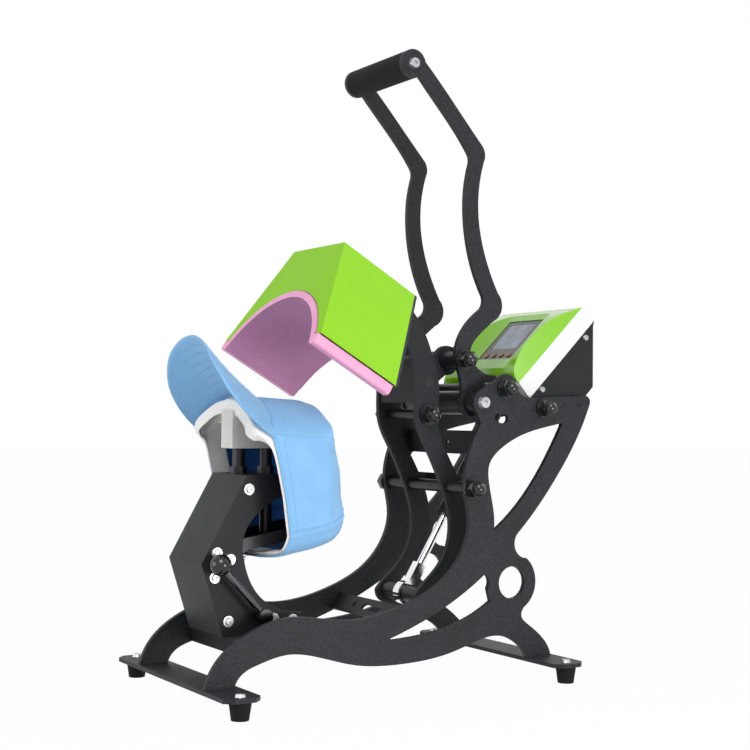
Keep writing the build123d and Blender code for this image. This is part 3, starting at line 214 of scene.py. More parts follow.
black_oxide = grained("black_oxide", (0.016, 0.015, 0.017), (0.030, 0.028, 0.032), 500.0, 0.12,
                      0.36, patches=30.0, Metallic=0.5)
dress(black_oxide, "frame_rods", "arm_rods", "handle_sleeve", "handle_pivot_shaft",
      "handle_cross_pin", "platen_posts", "retractor", "gas_cylinder")
polished_black = grained("polished_black", (0.10, 0.10, 0.11), (0.13, 0.13, 0.14), 400.0, 0.03,
                         0.14, patches=30.0, specks=0.1, Metallic=1.0)
dress(polished_black, "clamp_lever")

# ---------------------------------------------------------------- domed cap nuts and ball knob
# Domed black nuts on the rods' ends, and a black phenolic ball screwed on the lever, all
# moulded or lacquered with a high gloss.

glossy_black = grained("glossy_black", (0.010, 0.010, 0.011), (0.015, 0.015, 0.016), 220.0,
                       0.03, 0.12, patches=25.0, specks=0.1, Specular_IOR_Level=0.35,
                       Coat_Weight=0.25, Coat_Roughness=0.03)
dress(glossy_black, "frame_cap_nuts", "arm_cap_nuts", "cross_pin_nuts", "ball_knob")

# ---------------------------------------------------------------- screws and bolts
# Zinc-plated button-head screws over plain washers.  The handle's shaft has such a screw
# in each end, and the screws that hold the control box between the frames are black.

zinc = grained("zinc", (0.46, 0.47, 0.49), (0.58, 0.59, 0.61), 700.0, 0.10, 0.34,
               patches=60.0, Metallic=1.0)
dress(zinc, "foot_bolts", "grip_bolts", "pedestal_screws", "box_screws", "retractor_pins")


def beyond(limit):
    """A test for faces whose centres lie further from the middle plane than a limit."""
    def test(centres, _):
        return np.abs(centres[:, 0]) > limit
    return test


shaft_screw_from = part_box("side_frame_right")[1][0] - 0.0002
frame_screw_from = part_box("box_base")[1][0] + 0.0021
dress_where(zinc, "handle_pivot_shaft", beyond(shaft_screw_from))
dress_where(black_oxide, "box_screws", beyond(frame_screw_from))

# ---------------------------------------------------------------- retractor's return spring
# A close-wound extension spring of zinc-plated wire, hooked over two pins at its ends.  The
# wire follows a helix whose radius shrinks at both ends, where the hooks start.


def grid_mesh(name, points, closed_u=False, materials=(), uv=None):
    """A mesh from a grid of points [u, v, 3], with faces between neighbours and a UV map."""
    count_u, count_v = points.shape[:2]
    index = np.arange(count_u * count_v).reshape(count_u, count_v)
    if closed_u:
        index = np.vstack([index, index[:1]])
    faces = np.stack([index[:-1, :-1], index[1:, :-1], index[1:, 1:], index[:-1, 1:]], -1)
    mesh = bpy.data.meshes.new(name)
    mesh.from_pydata(points.reshape(-1, 3).tolist(), [], faces.reshape(-1, 4).tolist())
    if uv is not None:
        corners = np.empty(len(mesh.loops), np.int32)
        mesh.loops.foreach_get("vertex_index", corners)
        layer = mesh.uv_layers.new(name="uv")
        layer.data.foreach_set("uv", uv.reshape(-1, 2)[corners].ravel())
    mesh.polygons.foreach_set("use_smooth", np.ones(len(mesh.polygons), bool))
    for material in materials:
        mesh.materials.append(material)
    thing = bpy.data.objects.new(name, mesh)
    bpy.context.scene.collection.objects.link(thing)
    return thing


def weld(thing):
    """Merge the points that fall together at poles and seams, and turn all faces outward."""
    work = bmesh.new()
    work.from_mesh(thing.data)
    bmesh.ops.remove_doubles(work, verts=work.verts, dist=1e-6)
    bmesh.ops.recalc_face_normals(work, faces=work.faces)
    work.to_mesh(thing.data)
    work.free()


def tube(name, path, radius, material, sides=10):
    """A round wire along a path: a circle carried by a frame that doesn't twist."""
    path = np.asarray(path, float)
    ahead = np.gradient(path, axis=0)
    ahead /= np.linalg.norm(ahead, axis=1, keepdims=True)
    across = np.empty_like(path)
    guide = np.cross(ahead[0], (0.3, 0.5, 0.8))
    for k, direction in enumerate(ahead):
        guide = guide - direction * (guide @ direction)
        guide /= np.linalg.norm(guide)
        across[k] = guide
    third = np.cross(ahead, across)
    angle = np.linspace(0, 2 * pi, sides, endpoint=False)[None, :, None]
    skin = path[:, None] + radius * (np.cos(angle) * across[:, None]
                                     + np.sin(angle) * third[:, None])
    skin = np.concatenate([np.repeat(path[:1, None], sides, 1), skin,
                           np.repeat(path[-1:, None], sides, 1)], 0)
    return grid_mesh(name, skin.transpose(1, 0, 2), True, (material,))


spring_turns, coil_radius, wire_radius = 15, 0.0036, 0.00065
end_inset = 0.001            # the wire's ends stay this much inside the plain solid
end_radius = 0.12            # the coil's radius at its ends, as a share
end_widening = 14            # how fast the radius grows from there
spring_low, spring_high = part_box("return_spring")
spring_foot = np.array([0, spring_low[1] + coil_radius, spring_low[2] + end_inset])
spring_head = np.array([0, spring_high[1] - coil_radius, spring_high[2] - end_inset])
spring_axis = spring_head - spring_foot
spring_length = np.linalg.norm(spring_axis)
spring_axis /= spring_length
wind = np.linspace(0, 1, 420)[:, None]
swell = coil_radius * np.minimum(1, end_widening * np.minimum(wind, 1 - wind) + end_radius)
spring_path = (spring_foot + spring_axis * spring_length * wind
               + swell * np.cos(2 * pi * spring_turns * wind) * np.array([1.0, 0, 0])
               + swell * np.sin(2 * pi * spring_turns * wind)
               * np.cross(spring_axis, np.array([1.0, 0, 0])))
return_spring = tube("coil_spring", spring_path, wire_radius, zinc)
weld(return_spring)
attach(return_spring, "base")
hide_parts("return_spring")

# ---------------------------------------------------------------- gas spring
# A painted tube, dressed with the rods above, and a hard-chromed piston rod with its end
# fitting, which turns on the rod between the arms' feet.

chrome = grained("chrome", (0.80, 0.81, 0.82), (0.86, 0.87, 0.88), 300.0, 0.02, 0.10,
                 patches=18.0, Metallic=1.0)
dress(chrome, "gas_piston_rod")

# ---------------------------------------------------------------- feet and grip
# Moulded rubber feet under the bars' bolts, and a grip of the same soft black rubber that
# is pushed on a tube between the handle's plates.

soft_rubber = grained("soft_rubber", (0.0055, 0.0055, 0.0060), (0.0080, 0.0080, 0.0085), 1300.0,
                      0.35, 0.70, specks=0.5, Specular_IOR_Level=0.15)
dress(soft_rubber, "rubber_feet", "handle_grip")

# ---------------------------------------------------------------- upper platen
# A folded green sheet cover, a black back plate, and a cast aluminium platen with a thick
# pink silicone pad that stands a little below the cover.

green_paint = grained("green_paint", (0.224, 0.530, 0.004), (0.238, 0.555, 0.005), 700.0, 0.05,
                      0.45, patches=7.0, specks=0.06, Specular_IOR_Level=0.2)
dress(green_paint, "platen_cover")
pink_silicone = grained("pink_silicone", (0.80, 0.36, 0.56), (0.76, 0.33, 0.53), 260.0, 0.06,
                        0.50, patches=22.0, specks=0.12)
dress(pink_silicone, "silicone_pad")
# The pad's hollow gets a darker mauve copy of the pink: painted shade inside the hollow.
painted_shade_silicone = grained("painted_shade_silicone", (0.50, 0.22, 0.38), (0.45, 0.19, 0.34), 260.0, 0.08,
                         0.55, patches=22.0, specks=0.15)
platen_tilt = radians(-30.1)  # the pad's axis at rest, from level
foot_strip = 0.0015          # height of the pad's feet that stays plain pink, without the painted shade
platen_axis = np.array([0, cos(platen_tilt), sin(platen_tilt)])
platen_up = np.array([0, -sin(platen_tilt), cos(platen_tilt)])


def in_hollow(centres, normals):
    """Hollow faces for the painted shade: square to its axis, looking inward, and above its feet.
    """
    height = centres @ platen_up
    inward = (centres[:, 0] * normals[:, 0] < 0) | (normals @ platen_up < -0.5)
    return ((np.abs(normals @ platen_axis) < 0.3) & inward
            & (height > height.min() + foot_strip))


dress_where(painted_shade_silicone, "silicone_pad", in_hollow)
cast_aluminium = grained("cast_aluminium", (0.60, 0.61, 0.62), (0.68, 0.69, 0.70), 420.0, 0.5,
                         0.45, Metallic=0.9)
dress(cast_aluminium, "heat_platen")
heater_foil = grained("heater_foil", (0.68, 0.42, 0.16), (0.76, 0.50, 0.22), 240.0, 0.25, 0.35,
                      Metallic=0.9)
dress(heater_foil, "heater_foil")
mineral_wool = grained("mineral_wool", (0.72, 0.64, 0.46), (0.82, 0.76, 0.62), 380.0, 1.0, 0.95)
dress(mineral_wool, "insulation")

# ---------------------------------------------------------------- lower platen
# A cast arch in pale grey paint that stands on two posts, under a thin white felt that is
# glued on it.

pale_casting = grained("pale_casting", (0.62, 0.61, 0.58), (0.70, 0.69, 0.66), 420.0, 0.35, 0.6)
dress(pale_casting, "lower_platen")
white_felt = grained("white_felt", (0.74, 0.72, 0.67), (0.82, 0.80, 0.76), 900.0, 0.8, 0.95)
dress(white_felt, "lower_felt_pad")

# ---------------------------------------------------------------- control box
# A black sheet base, a white band and a green moulded cover round a small display with
# four round buttons.

box_black = grained("box_black", (0.0060, 0.0060, 0.0068), (0.0085, 0.0085, 0.0095), 1800.0,
                    0.10, 0.42, specks=0.2, Specular_IOR_Level=0.3)
dress(box_black, "box_base")
white_paint = grained("white_paint", (0.735, 0.735, 0.745), (0.765, 0.765, 0.765), 900.0,
                      0.03, 0.30, specks=0.04)
dress(white_paint, "box_band")
green_gloss = grained("green_gloss", (0.215, 0.540, 0.004), (0.225, 0.555, 0.005), 500.0, 0.02,
                      0.16, patches=7.0, specks=0.03, Coat_Weight=0.55, Coat_Roughness=0.06)
dress(green_gloss, "box_cover")
bezel = grained("bezel", (0.014, 0.012, 0.011), (0.020, 0.017, 0.015), 1200.0, 0.06, 0.25,
                Coat_Weight=0.4, Coat_Roughness=0.1)
dress(bezel, "display_panel")
# The display's own colour is the dark blue; the lighter grey-blue patches across it are a painted
# reflection.
screen = grained("screen", (0.10, 0.13, 0.19), (0.27, 0.32, 0.40), 60.0, 0.0, 0.12,
                 patches=38.0, specks=0.1, Coat_Weight=0.45, Coat_Roughness=0.03)
dress(screen, "display_window")
circuit = grained("circuit", (0.02, 0.16, 0.05), (0.03, 0.22, 0.08), 500.0, 0.2, 0.4)
dress(circuit, "circuit_board")
button_cap = grained("button_cap", (0.30, 0.12, 0.07), (0.42, 0.20, 0.12), 600.0, 0.1, 0.35)
dress(button_cap, *(f"push_button_{i}" for i in range(1, 5)))
black_plastic = grained("black_plastic", (0.016, 0.016, 0.017), (0.022, 0.022, 0.023), 1200.0,
                        0.3, 0.45)
dress(black_plastic, "power_inlet", "power_rocker")

# ---------------------------------------------------------------- cap crown
# A six-panel cotton cap: two front panels over the arch, side and rear panels behind them,
# sewn with felled seams under double rows of stitching and closed by a covered button.
# It hangs down behind the lower platen, opening forward, with painted dark blue shade inside.

centre_y = 0.02975           # the part's frame has its origin this far behind the pedestal's
cloth = 0.0018               # thickness of the sewn shell
crown_half = 0.076           # half of its width
rim_y = -0.1353 - centre_y   # front of the platen's arch
arch_lean = 0.054            # the lower platen drops this much for each unit backwards
underside_rise = 0.0105      # the crown's underside rises this much towards the back
pole_y, pole_z = -0.0275 - centre_y, 0.178  # where the six panels meet


def smooth_path(points, t):
    """Catmull-Rom curve through points, one row for each t from 0 (first) to 1 (last)."""
    points = np.asarray(points, float)
    padded = np.vstack([2 * points[0] - points[1], points, 2 * points[-1] - points[-2]])
    place = np.clip(np.asarray(t, float), 0, 1) * (len(points) - 1)
    first = np.minimum(place.astype(int), len(points) - 2)
    u = (place - first)[..., None]
    a, b, c, d = (padded[first + i] for i in range(4))
    return 0.5 * (2 * b + (c - a) * u + (2 * a - 5 * b + 4 * c - d) * u ** 2
                  + (3 * b - a - 3 * c + d) * u ** 3)


crown_outline = [(0, 0.2806), (0.030, 0.2758), (0.055, 0.2632), (0.0705, 0.2495),
                 (0.0755, 0.234), (0.076, 0.205), (0.0755, 0.172), (0.0740, 0.148),
                 (0.064, 0.134), (0.036, 0.1295), (0, 0.1285)]
profile_top = [(0, 1), (0.34, 1), (0.60, 0.996), (0.68, 0.95), (0.735, 0.80), (0.835, 0.58),
               (0.95, 0.28), (1, 0)]
profile_side = [(0, 1), (0.20, 1), (0.40, 0.985), (0.58, 0.93), (0.74, 0.80), (0.865, 0.59),
                (0.96, 0.30), (1, 0)]
profile_low = [(0, 1), (0.22, 1), (0.45, 0.985), (0.66, 0.93), (0.80, 0.79), (0.905, 0.58),
               (0.97, 0.28), (1, 0)]
# creases: height, depth, slope and the turn it pivots on, width, middle turn, spread
creases = ((0.0026, 0.70, 0.9, 0.63, 0.040, 0.66, 0.13),
           (-0.0020, 0.50, 0.5, 0.60, 0.07, 0.62, 0.10),
           (0.0036, 0.40, 0.0, 0.30, 0.10, 0.30, 0.07))
opening_edge = [(-0.1215, 0.126), (-0.1125, 0.132), (-0.1095, 0.150), (-0.1150, 0.186),
                (-0.1240, 0.226), (-0.1275, 0.240), (-0.1262, 0.254), (-0.1215, 0.270),
                (-0.1160, 0.2815)]


def drape(folded, y, back):
    """Height added to the crown: its top drops backwards and its underside rises."""
    rise = np.clip((folded - 0.50) / 0.24, 0, 1)
    return (underside_rise * rise ** 2 * (3 - 2 * rise) * np.clip(back / 0.85, 0, 1)
            - arch_lean * (y - rim_y) * np.clip((0.50 - folded) / 0.15, 0, 1))


def rim_depth(z):
    """The y of the crown's opening at a height."""
    heights = [height for _, height in opening_edge]
    return np.interp(z, heights, [y for y, _ in opening_edge]) - centre_y


def crown_at(turn, depth, lift=0.0):
    """Crown surface: the front outline at an angle, shrunk and carried back by a profile.

    turn goes once round from the top towards +X, depth from the opening to the button.
    The profile is a mix of the top's, the side's and the underside's own profiles, and the
    drape fades out towards the button, where all turns meet in one point.
    """
    turn, depth = np.broadcast_arrays(np.asarray(turn, float), np.asarray(depth, float))
    folded = 2 * np.minimum(turn % 1, 1 - turn % 1)
    outline = smooth_path(crown_outline, folded)
    side = np.where(turn % 1 > 0.5, -1.0, 1.0)
    top = np.clip((0.42 - folded) / 0.18, 0, 1)
    low = np.clip((folded - 0.62) / 0.18, 0, 1)
    mixed = (top[..., None] * smooth_path(profile_top, depth)
             + low[..., None] * smooth_path(profile_low, depth)
             + (1 - top - low)[..., None] * smooth_path(profile_side, depth))
    back, reach = mixed[..., 0], mixed[..., 1]
    rim = rim_depth(outline[..., 1])
    x = side * outline[..., 0] * reach
    z = pole_z + (outline[..., 1] - pole_z) * reach
    y = rim + (pole_y - rim) * back
    settle = np.clip((1 - depth) / 0.28, 0, 1)
    settle = settle ** 2 * (3 - 2 * settle)
    z = z + settle * drape(folded, y, back)
    fold = (0.0013 * np.sin(26 * depth + 9 * folded) * np.clip(depth - 0.25, 0, 1)
            * np.clip(folded - 0.30, 0, 1))
    for height, centre, slope, pivot, width, middle, spread in creases:
        fold = fold + (height * np.exp(-((folded - middle) / spread) ** 2)
                       * np.exp(-((depth - centre + slope * (folded - pivot)) / width) ** 2))
    away = np.stack([x, (y - pole_y) * 0.25 + 0.02 * back, z - pole_z], -1)
    away /= np.linalg.norm(away, axis=-1, keepdims=True) + 1e-9
    return np.stack([x, y, z], -1) + away * (fold * (1 - depth ** 6) + lift)[..., None]


def surface_normals(points, closed_u=False):
    """Unit normals of a grid of points, from the cross product of its two differences."""
    if closed_u:
        along_u = np.roll(points, -1, 0) - np.roll(points, 1, 0)
    else:
        along_u = np.gradient(points, axis=0)
    along_v = np.gradient(points, axis=1)
    normal = np.cross(along_u, along_v)
    return normal / (np.linalg.norm(normal, axis=-1, keepdims=True) + 1e-12)


def make_weave_group():
    """Weave: two crossed sets of threads in UV, for a bump height and colour with painted shade.
    """
    group, start, end = shader_group(
        "weave", [("Colour", "c", (0.5, 0.5, 0.5, 1)), ("Shade", "c", (0.3, 0.3, 0.3, 1)),
                  ("Threads", "f", 1500.0)],
        [("Colour", "c"), ("Bump Height", "f")])
    uv_map = group.nodes.new("ShaderNodeTexCoord").outputs["UV"]
    scaled = group.nodes.new("ShaderNodeVectorMath")
    scaled.operation = "SCALE"
    group.links.new(uv_map, scaled.inputs[0])
    group.links.new(start.outputs["Threads"], scaled.inputs["Scale"])
    split = group.nodes.new("ShaderNodeSeparateXYZ")
    group.links.new(scaled.outputs[0], split.inputs[0])
    waves = []
    for axis in ("X", "Y"):
        wave = group.nodes.new("ShaderNodeMath")
        wave.operation = "SINE"
        group.links.new(split.outputs[axis], wave.inputs[0])
        waves.append(wave.outputs[0])
    height = group.nodes.new("ShaderNodeMath")
    height.operation = "MULTIPLY"
    group.links.new(waves[0], height.inputs[0])
    group.links.new(waves[1], height.inputs[1])
    group.links.new(height.outputs[0], end.inputs["Bump Height"])
    cloudy = noise(group, group.nodes.new("ShaderNodeTexCoord").outputs["Object"], 60.0, 3.0)
    share = ranged(group, cloudy.outputs["Fac"], 0.3, 0.7, 0.0, 0.35)
    tone = mix_colour(group, share, start.outputs["Colour"], start.outputs["Shade"])
    # painted shade: the colour is pulled towards the shade colour in the dips between threads
    dip = ranged(group, height.outputs[0], -1.0, 1.0, 0.16, 0.0)
    group.links.new(mix_colour(group, dip, tone, start.outputs["Shade"]), end.inputs["Colour"])
    return group


weave_group = make_weave_group()


def woven(name, colour, shade, threads=9000.0, roughness=0.9, bump=0.25):
    """A cloth whose threads follow the piece's UV map, measured in metres."""
    material, tree, shader = new_material(name)
    weave = tree.nodes.new("ShaderNodeGroup")
    weave.node_tree = weave_group
    weave.inputs["Colour"].default_value = (*colour, 1)
    weave.inputs["Shade"].default_value = (*shade, 1)
    weave.inputs["Threads"].default_value = threads
    relief = tree.nodes.new("ShaderNodeBump")
    relief.inputs["Distance"].default_value = 0.0002
    relief.inputs["Strength"].default_value = bump
    tree.links.new(weave.outputs["Bump Height"], relief.inputs["Height"])
    tree.links.new(weave.outputs["Colour"], shader.inputs["Base Color"])
    tree.links.new(relief.outputs["Normal"], shader.inputs["Normal"])
    shader.inputs["Roughness"].default_value = roughness
    shader.inputs["Specular IOR Level"].default_value = 0.2
    shader.inputs["Sheen Weight"].default_value = 0.25
    return material


def double_skin(name, outer, thickness, materials, closed_u=False):
    """A cloth shell: the outer grid, an inner one a thickness behind it, and closed edges.

    The grid's rows run round the shell and its columns from the free edge inwards, so the
    edge columns are joined by one strip of hem.
    """
    normals = surface_normals(outer, closed_u)
    pole = np.ptp(outer[:, -1], axis=0).max() < 1e-6
    if pole:
        away = np.linalg.norm(outer - outer[:, -1:], axis=-1, keepdims=True)
        near = np.exp(-(away / 0.020) ** 2)
        normals = normals * (1 - near) + near * normals[:, -12].mean(0)
        normals /= np.linalg.norm(normals, axis=-1, keepdims=True)
    inner = outer - normals * thickness
    sheets = np.concatenate([outer[:, ::-1], inner] + [outer[:, -1:]] * (not pole), axis=1)
    lengths = np.linalg.norm(np.diff(sheets, axis=1), axis=-1)
    along = np.concatenate([np.zeros((len(sheets), 1)), np.cumsum(lengths, 1)], 1)
    widths = np.linalg.norm(np.diff(sheets, axis=0), axis=-1).mean(1)
    around = np.concatenate([[0], np.cumsum(widths)])[:, None] * np.ones_like(along)
    shell = grid_mesh(name, sheets[:, ::-1], closed_u, materials,
                      np.stack([around, along], -1)[:, ::-1])
    rows = sheets.shape[0] if closed_u else sheets.shape[0] - 1
    column = np.tile(np.arange(sheets.shape[1] - 1), rows)
    shell.data.polygons.foreach_set(
        "material_index", (column < inner.shape[1] - 1).astype(np.int32) * (len(materials) > 1))
    weld(shell)
    return shell


cap_blue = woven("cap_blue", (0.232, 0.478, 0.755), (0.155, 0.368, 0.672))
# The inner faces get a much darker copy of the cap's blue: painted shade inside the crown.
cap_inside_painted_shade = woven("cap_inside_painted_shade", (0.012, 0.085, 0.29), (0.008, 0.055, 0.21))
thread_blue = woven("thread_blue", (0.40, 0.64, 0.90), (0.30, 0.54, 0.84), 20000.0)
turns = np.linspace(0, 1, 281)[:-1, None]
depths = np.linspace(0, 1, 121)[None, :] ** 0.9
seam_turns = (0.0, 0.165, 0.335, 0.5, 0.665, 0.835)


def seam_relief(turn, depth):
    """Outward step of the felled seams: low ridges along six meridians, pinched between."""
    relief = np.zeros(np.broadcast(turn, depth).shape)
    for seam in seam_turns:
        gap = np.abs((turn - seam + 0.5) % 1 - 0.5) * 0.46 * np.maximum(1 - depth ** 3, 0.05)
        relief += 0.0006 * np.exp(-(gap / 0.0045) ** 4) - 0.0016 * np.exp(-(gap / 0.0011) ** 2)
    return relief * (1 - depth ** 6)


crown_grid = crown_at(turns, depths, seam_relief(turns, depths))
crown = double_skin("crown", crown_grid, cloth, (cap_blue, cap_inside_painted_shade), closed_u=True)
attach(crown, "base")
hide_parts("cap_crown")
button_turns = np.linspace(0, 2 * pi, 49)[:-1, None]
button_polar = np.linspace(0, pi, 25)[None, :]
button_radius, button_height = 0.0080, 0.0034
button_x = button_radius * np.sin(button_polar) * np.cos(button_turns)
button_z = button_radius * np.sin(button_polar) * np.sin(button_turns)
crown_button = grid_mesh(
    "crown_button",
    np.stack([button_x, pole_y - 0.0004 + button_height * np.cos(button_polar) + 0 * button_x,
              pole_z + button_z], -1)[::-1], True, (cap_blue,),
    np.stack([button_x, button_z], -1)[::-1])
weld(crown_button)
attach(crown_button, "base")


def stitches(name, path, normals, pitch, material, width=0.00045):
    """Sewn dashes along a path: flattened six-sided spindles, each 0.7 of a pitch long."""
    steps = np.linalg.norm(np.diff(path, axis=0), axis=1)
    run = np.concatenate([[0], np.cumsum(steps)])
    centres = np.arange(pitch / 2, run[-1], pitch)
    sample = [np.stack([np.interp(centres + shift, run, path[:, k]) for k in range(3)], -1)
              for shift in (-0.35 * pitch, 0, 0.35 * pitch)]
    up = np.stack([np.interp(centres, run, normals[:, k]) for k in range(3)], -1)
    ahead = sample[2] - sample[0]
    across = np.cross(ahead, up)
    across /= np.linalg.norm(across, axis=1, keepdims=True) + 1e-12
    angle = np.arange(6) * pi / 3
    ring = (np.cos(angle)[:, None] * across[:, None] + np.sin(angle)[:, None] * up[:, None])
    middle = sample[1][:, None] + ring * width + up[:, None] * 0.0001
    verts = np.concatenate([sample[0][:, None], middle, sample[2][:, None]], 1)
    faces = []
    for k in range(6):
        faces += [(0, 1 + k, 1 + (k + 1) % 6), (7, 1 + (k + 1) % 6, 1 + k)]
    table = (np.arange(len(centres))[:, None, None] * 8 + np.array(faces)[None]).reshape(-1, 3)
    mesh = bpy.data.meshes.new(name)
    mesh.from_pydata(verts.reshape(-1, 3).tolist(), [], table.tolist())
    mesh.polygons.foreach_set("use_smooth", np.ones(len(mesh.polygons), bool))
    mesh.materials.append(material)
    row = bpy.data.objects.new(name, mesh)
    bpy.context.scene.collection.objects.link(row)
    return row


def joined(name, pieces):
    """One object made of several; the names of the others disappear."""
    with bpy.context.temp_override(active_object=pieces[0], object=pieces[0],
                                   selected_objects=pieces,
                                   selected_editable_objects=pieces):
        bpy.ops.object.join()
    pieces[0].name = name
    return pieces[0]


def crown_row(turn, depth):
    """A path on the crown, with its normals, for stitches laid on top of the cloth."""
    points = crown_at(turn, depth, 0.0005)
    step = 0.0006
    normal = np.cross(crown_at(turn, depth + step) - crown_at(turn, depth - step),
                      crown_at(turn + step, depth) - crown_at(turn - step, depth))
    normal /= np.linalg.norm(normal, axis=-1, keepdims=True)
    outward = points - np.array([0, -0.09 - centre_y, 0.19])
    return points, normal * np.sign((normal * outward).sum(-1, keepdims=True))


rows = []
run_in = np.linspace(0.012, 0.93, 160)
for seam in seam_turns:
    for side_step in (-0.0075, 0.0075):
        shift = side_step / np.maximum(1 - run_in ** 3, 0.25)
        rows.append(stitches("row", *crown_row(seam + shift, run_in), 0.0026, thread_blue))
for depth_line in (0.022, 0.070):
    ring_turns = np.linspace(0, 1, 400)
    rows.append(stitches("row", *crown_row(ring_turns, depth_line + 0 * ring_turns), 0.0026,
                         thread_blue))
crown_stitches = joined("crown_stitches", rows)
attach(crown_stitches, "base")

# ---------------------------------------------------------------- cap brim
# A stiffened brim standing up in front of the arch: two layers of the cap's cotton over a
# plastic board, bound at the edge and sewn through in eight rows of stitching.

arch_z, arch_reach = 0.1851, 0.0955  # centre height and radius of the arch it is sewn along
brim_length, brim_board = 0.084, 0.0030
pitch_middle, pitch_side = radians(43.5), radians(36.0)  # from level


def brim_at(across, along, lift=0.0):
    """Brim surface: the arch's edge carried forward and up, less steeply at its sides.

    across goes from -1 to 1 round the arch, along from the root to the free edge, whose
    outline is a superellipse.
    """
    across, along = np.broadcast_arrays(np.asarray(across, float), np.asarray(along, float))
    x = across * crown_half
    travel = along * brim_length * np.maximum(1 - np.abs(across) ** 3.0, 0) ** 0.37
    root_z = arch_z + np.sqrt(arch_reach ** 2 - x ** 2) - 0.0002
    root_y = rim_depth(root_z) + 0.001
    root_z = root_z - arch_lean * (root_y - rim_y)
    pitch = pitch_middle + (pitch_side - pitch_middle) * across ** 2
    sag = 0.004 * np.sin(pi * along) * (1 - across ** 2)
    place = np.stack([x, root_y - travel * np.cos(pitch),
                      root_z + travel * np.sin(pitch) - sag], -1)
    slope = np.arctan2(x, root_z - arch_z)
    out = np.stack([np.sin(slope), np.cos(slope) * np.sin(pitch),
                    np.cos(slope) * np.cos(pitch)], -1)
    return place + out * np.asarray(lift)[..., None]


across = np.sin(np.linspace(-pi / 2, pi / 2, 161))[:, None]
along = np.linspace(0, 1, 41)[None, :]
brim_rows = tuple(0.16 + 0.105 * k for k in range(8))
dips = sum(np.exp(-((along - row) * 9) ** 2 * 14) for row in brim_rows) * 0.0004
edge_round = 0.0012 * (1 - np.sqrt(np.clip(1 - ((along - 0.94) / 0.06).clip(0, 1) ** 2, 0, 1)))
outside = brim_at(across, along, -dips - edge_round)
underside = brim_at(across, along, dips + edge_round - brim_board)
sheet_loop = np.concatenate([outside, underside[:, ::-1], outside[:, :1]], axis=1)
loop_lengths = np.linalg.norm(np.diff(sheet_loop, axis=1), axis=-1)
loop_run = np.concatenate([np.zeros((len(sheet_loop), 1)), np.cumsum(loop_lengths, 1)], 1)
brim_uv = np.stack([across * crown_half + 0 * loop_run, loop_run], -1)
brim = grid_mesh("brim", sheet_loop, False, (cap_blue,), brim_uv)
weld(brim)
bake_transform(brim)
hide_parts("cap_brim")
rows = []
for row in brim_rows:
    sweep = np.linspace(-0.97, 0.97, 240)
    for lift, turn_over in ((0.0003, 1.0), (-brim_board - 0.0003, -1.0)):
        path = brim_at(sweep, row + 0 * sweep, lift + 0 * sweep)
        normal = brim_at(sweep, row, 0.001 + 0 * sweep) - brim_at(sweep, row, 0 * sweep)
        normal /= np.linalg.norm(normal, axis=-1, keepdims=True)
        rows.append(stitches("row", path, normal * turn_over, 0.0028, thread_blue))
brim_stitches = joined("brim_stitches", rows)
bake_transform(brim_stitches)

# ---------------------------------------------------------------- cap sweatband
# A folded off-white cotton tape sewn inside the opening.  Over the arch it is turned out
# and folded down in front of the felt, and elsewhere it shows as a narrow edge.

tape = woven("tape", (0.92, 0.91, 0.90), (0.84, 0.83, 0.81), 6000.0)


def between_knots(table, index, share):
    """Values of a table on its last axis, a share of the way from one index to the next."""
    first = np.take_along_axis(table, index[..., None], -1)[..., 0]
    second = np.take_along_axis(table, index[..., None] + 1, -1)[..., 0]
    return first * (1 - share) + second * share


def band_at(turn, over):
    """Sweatband surface: up the inside of the opening, out over the felt, and folded in.

    turn is the crown's; over goes from the sewn edge inside to the free edge in front.
    """
    turn, over = np.broadcast_arrays(np.asarray(turn, float), np.asarray(over, float))
    folded = 2 * np.minimum(turn % 1, 1 - turn % 1)
    side = np.where(turn % 1 > 0.5, -1.0, 1.0)
    step = 0.002
    outline = smooth_path(crown_outline, folded)
    ahead = (smooth_path(crown_outline, folded + step)
             - smooth_path(crown_outline, folded - step))
    inward = np.stack([-ahead[..., 1], ahead[..., 0]], -1)
    inward /= -np.linalg.norm(inward, axis=-1, keepdims=True)
    inward[..., 0] *= np.clip(folded / 0.03, 0, 1)
    edge = rim_depth(outline[..., 1])
    on_arch = 1 / (1 + np.exp((folded - 0.37) / 0.02))
    ears = np.exp(-((folded - 0.24) / 0.10) ** 2)
    front = on_arch * (-0.1375 - centre_y - 0.006 * ears) + (1 - on_arch) * (edge - 0.0008)
    width = 0.0003 + on_arch * (0.0125 + 0.0030 * side * np.sin(pi * np.clip(folded / 0.4, 0, 1)))
    crumple = 0.0006 * np.sin(34 * turn * pi + 2 * over) * on_arch
    knots = np.array([0.0, 0.30, 0.52, 0.62, 0.68, 0.84, 1.0])
    sink = np.stack([0 * width + 0.0026, 0 * width + 0.0026, 0 * width + 0.0026,
                     0 * width + 0.0030, 0.0040 + 0 * width, 0.0040 + 0.5 * width,
                     0.0040 + width], -1)
    depth = np.stack([edge + 0.020, edge, 0.45 * edge + 0.55 * front, front + 0.001,
                      front - 0.0005, front - 0.0002 + crumple, front + 0.001 - crumple], -1)
    index = np.clip(np.searchsorted(knots, over, side="right") - 1, 0, 5)
    share = (over - knots[index]) / (knots[index + 1] - knots[index])
    inset, y = between_knots(sink, index, share), between_knots(depth, index, share)
    place = outline + inward * inset[..., None]
    z = place[..., 1] + drape(folded, y, (y - edge) / (pole_y - edge))
    return np.stack([side * place[..., 0], y, z], -1)


band_turns = np.linspace(0, 1, 361)[:-1, None]
band_over = np.linspace(1, 0, 47)[None, :]
sweatband = double_skin("sweatband", band_at(band_turns, band_over), 0.0008, (tape, tape),
                        closed_u=True)
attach(sweatband, "base")
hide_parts("cap_sweatband")

# ---------------------------------------------------------------- floor, light and camera
# A plain pale floor and a white world, a large soft key from the right and three weaker
# lamps: in front, low beside the pedestal, and behind.

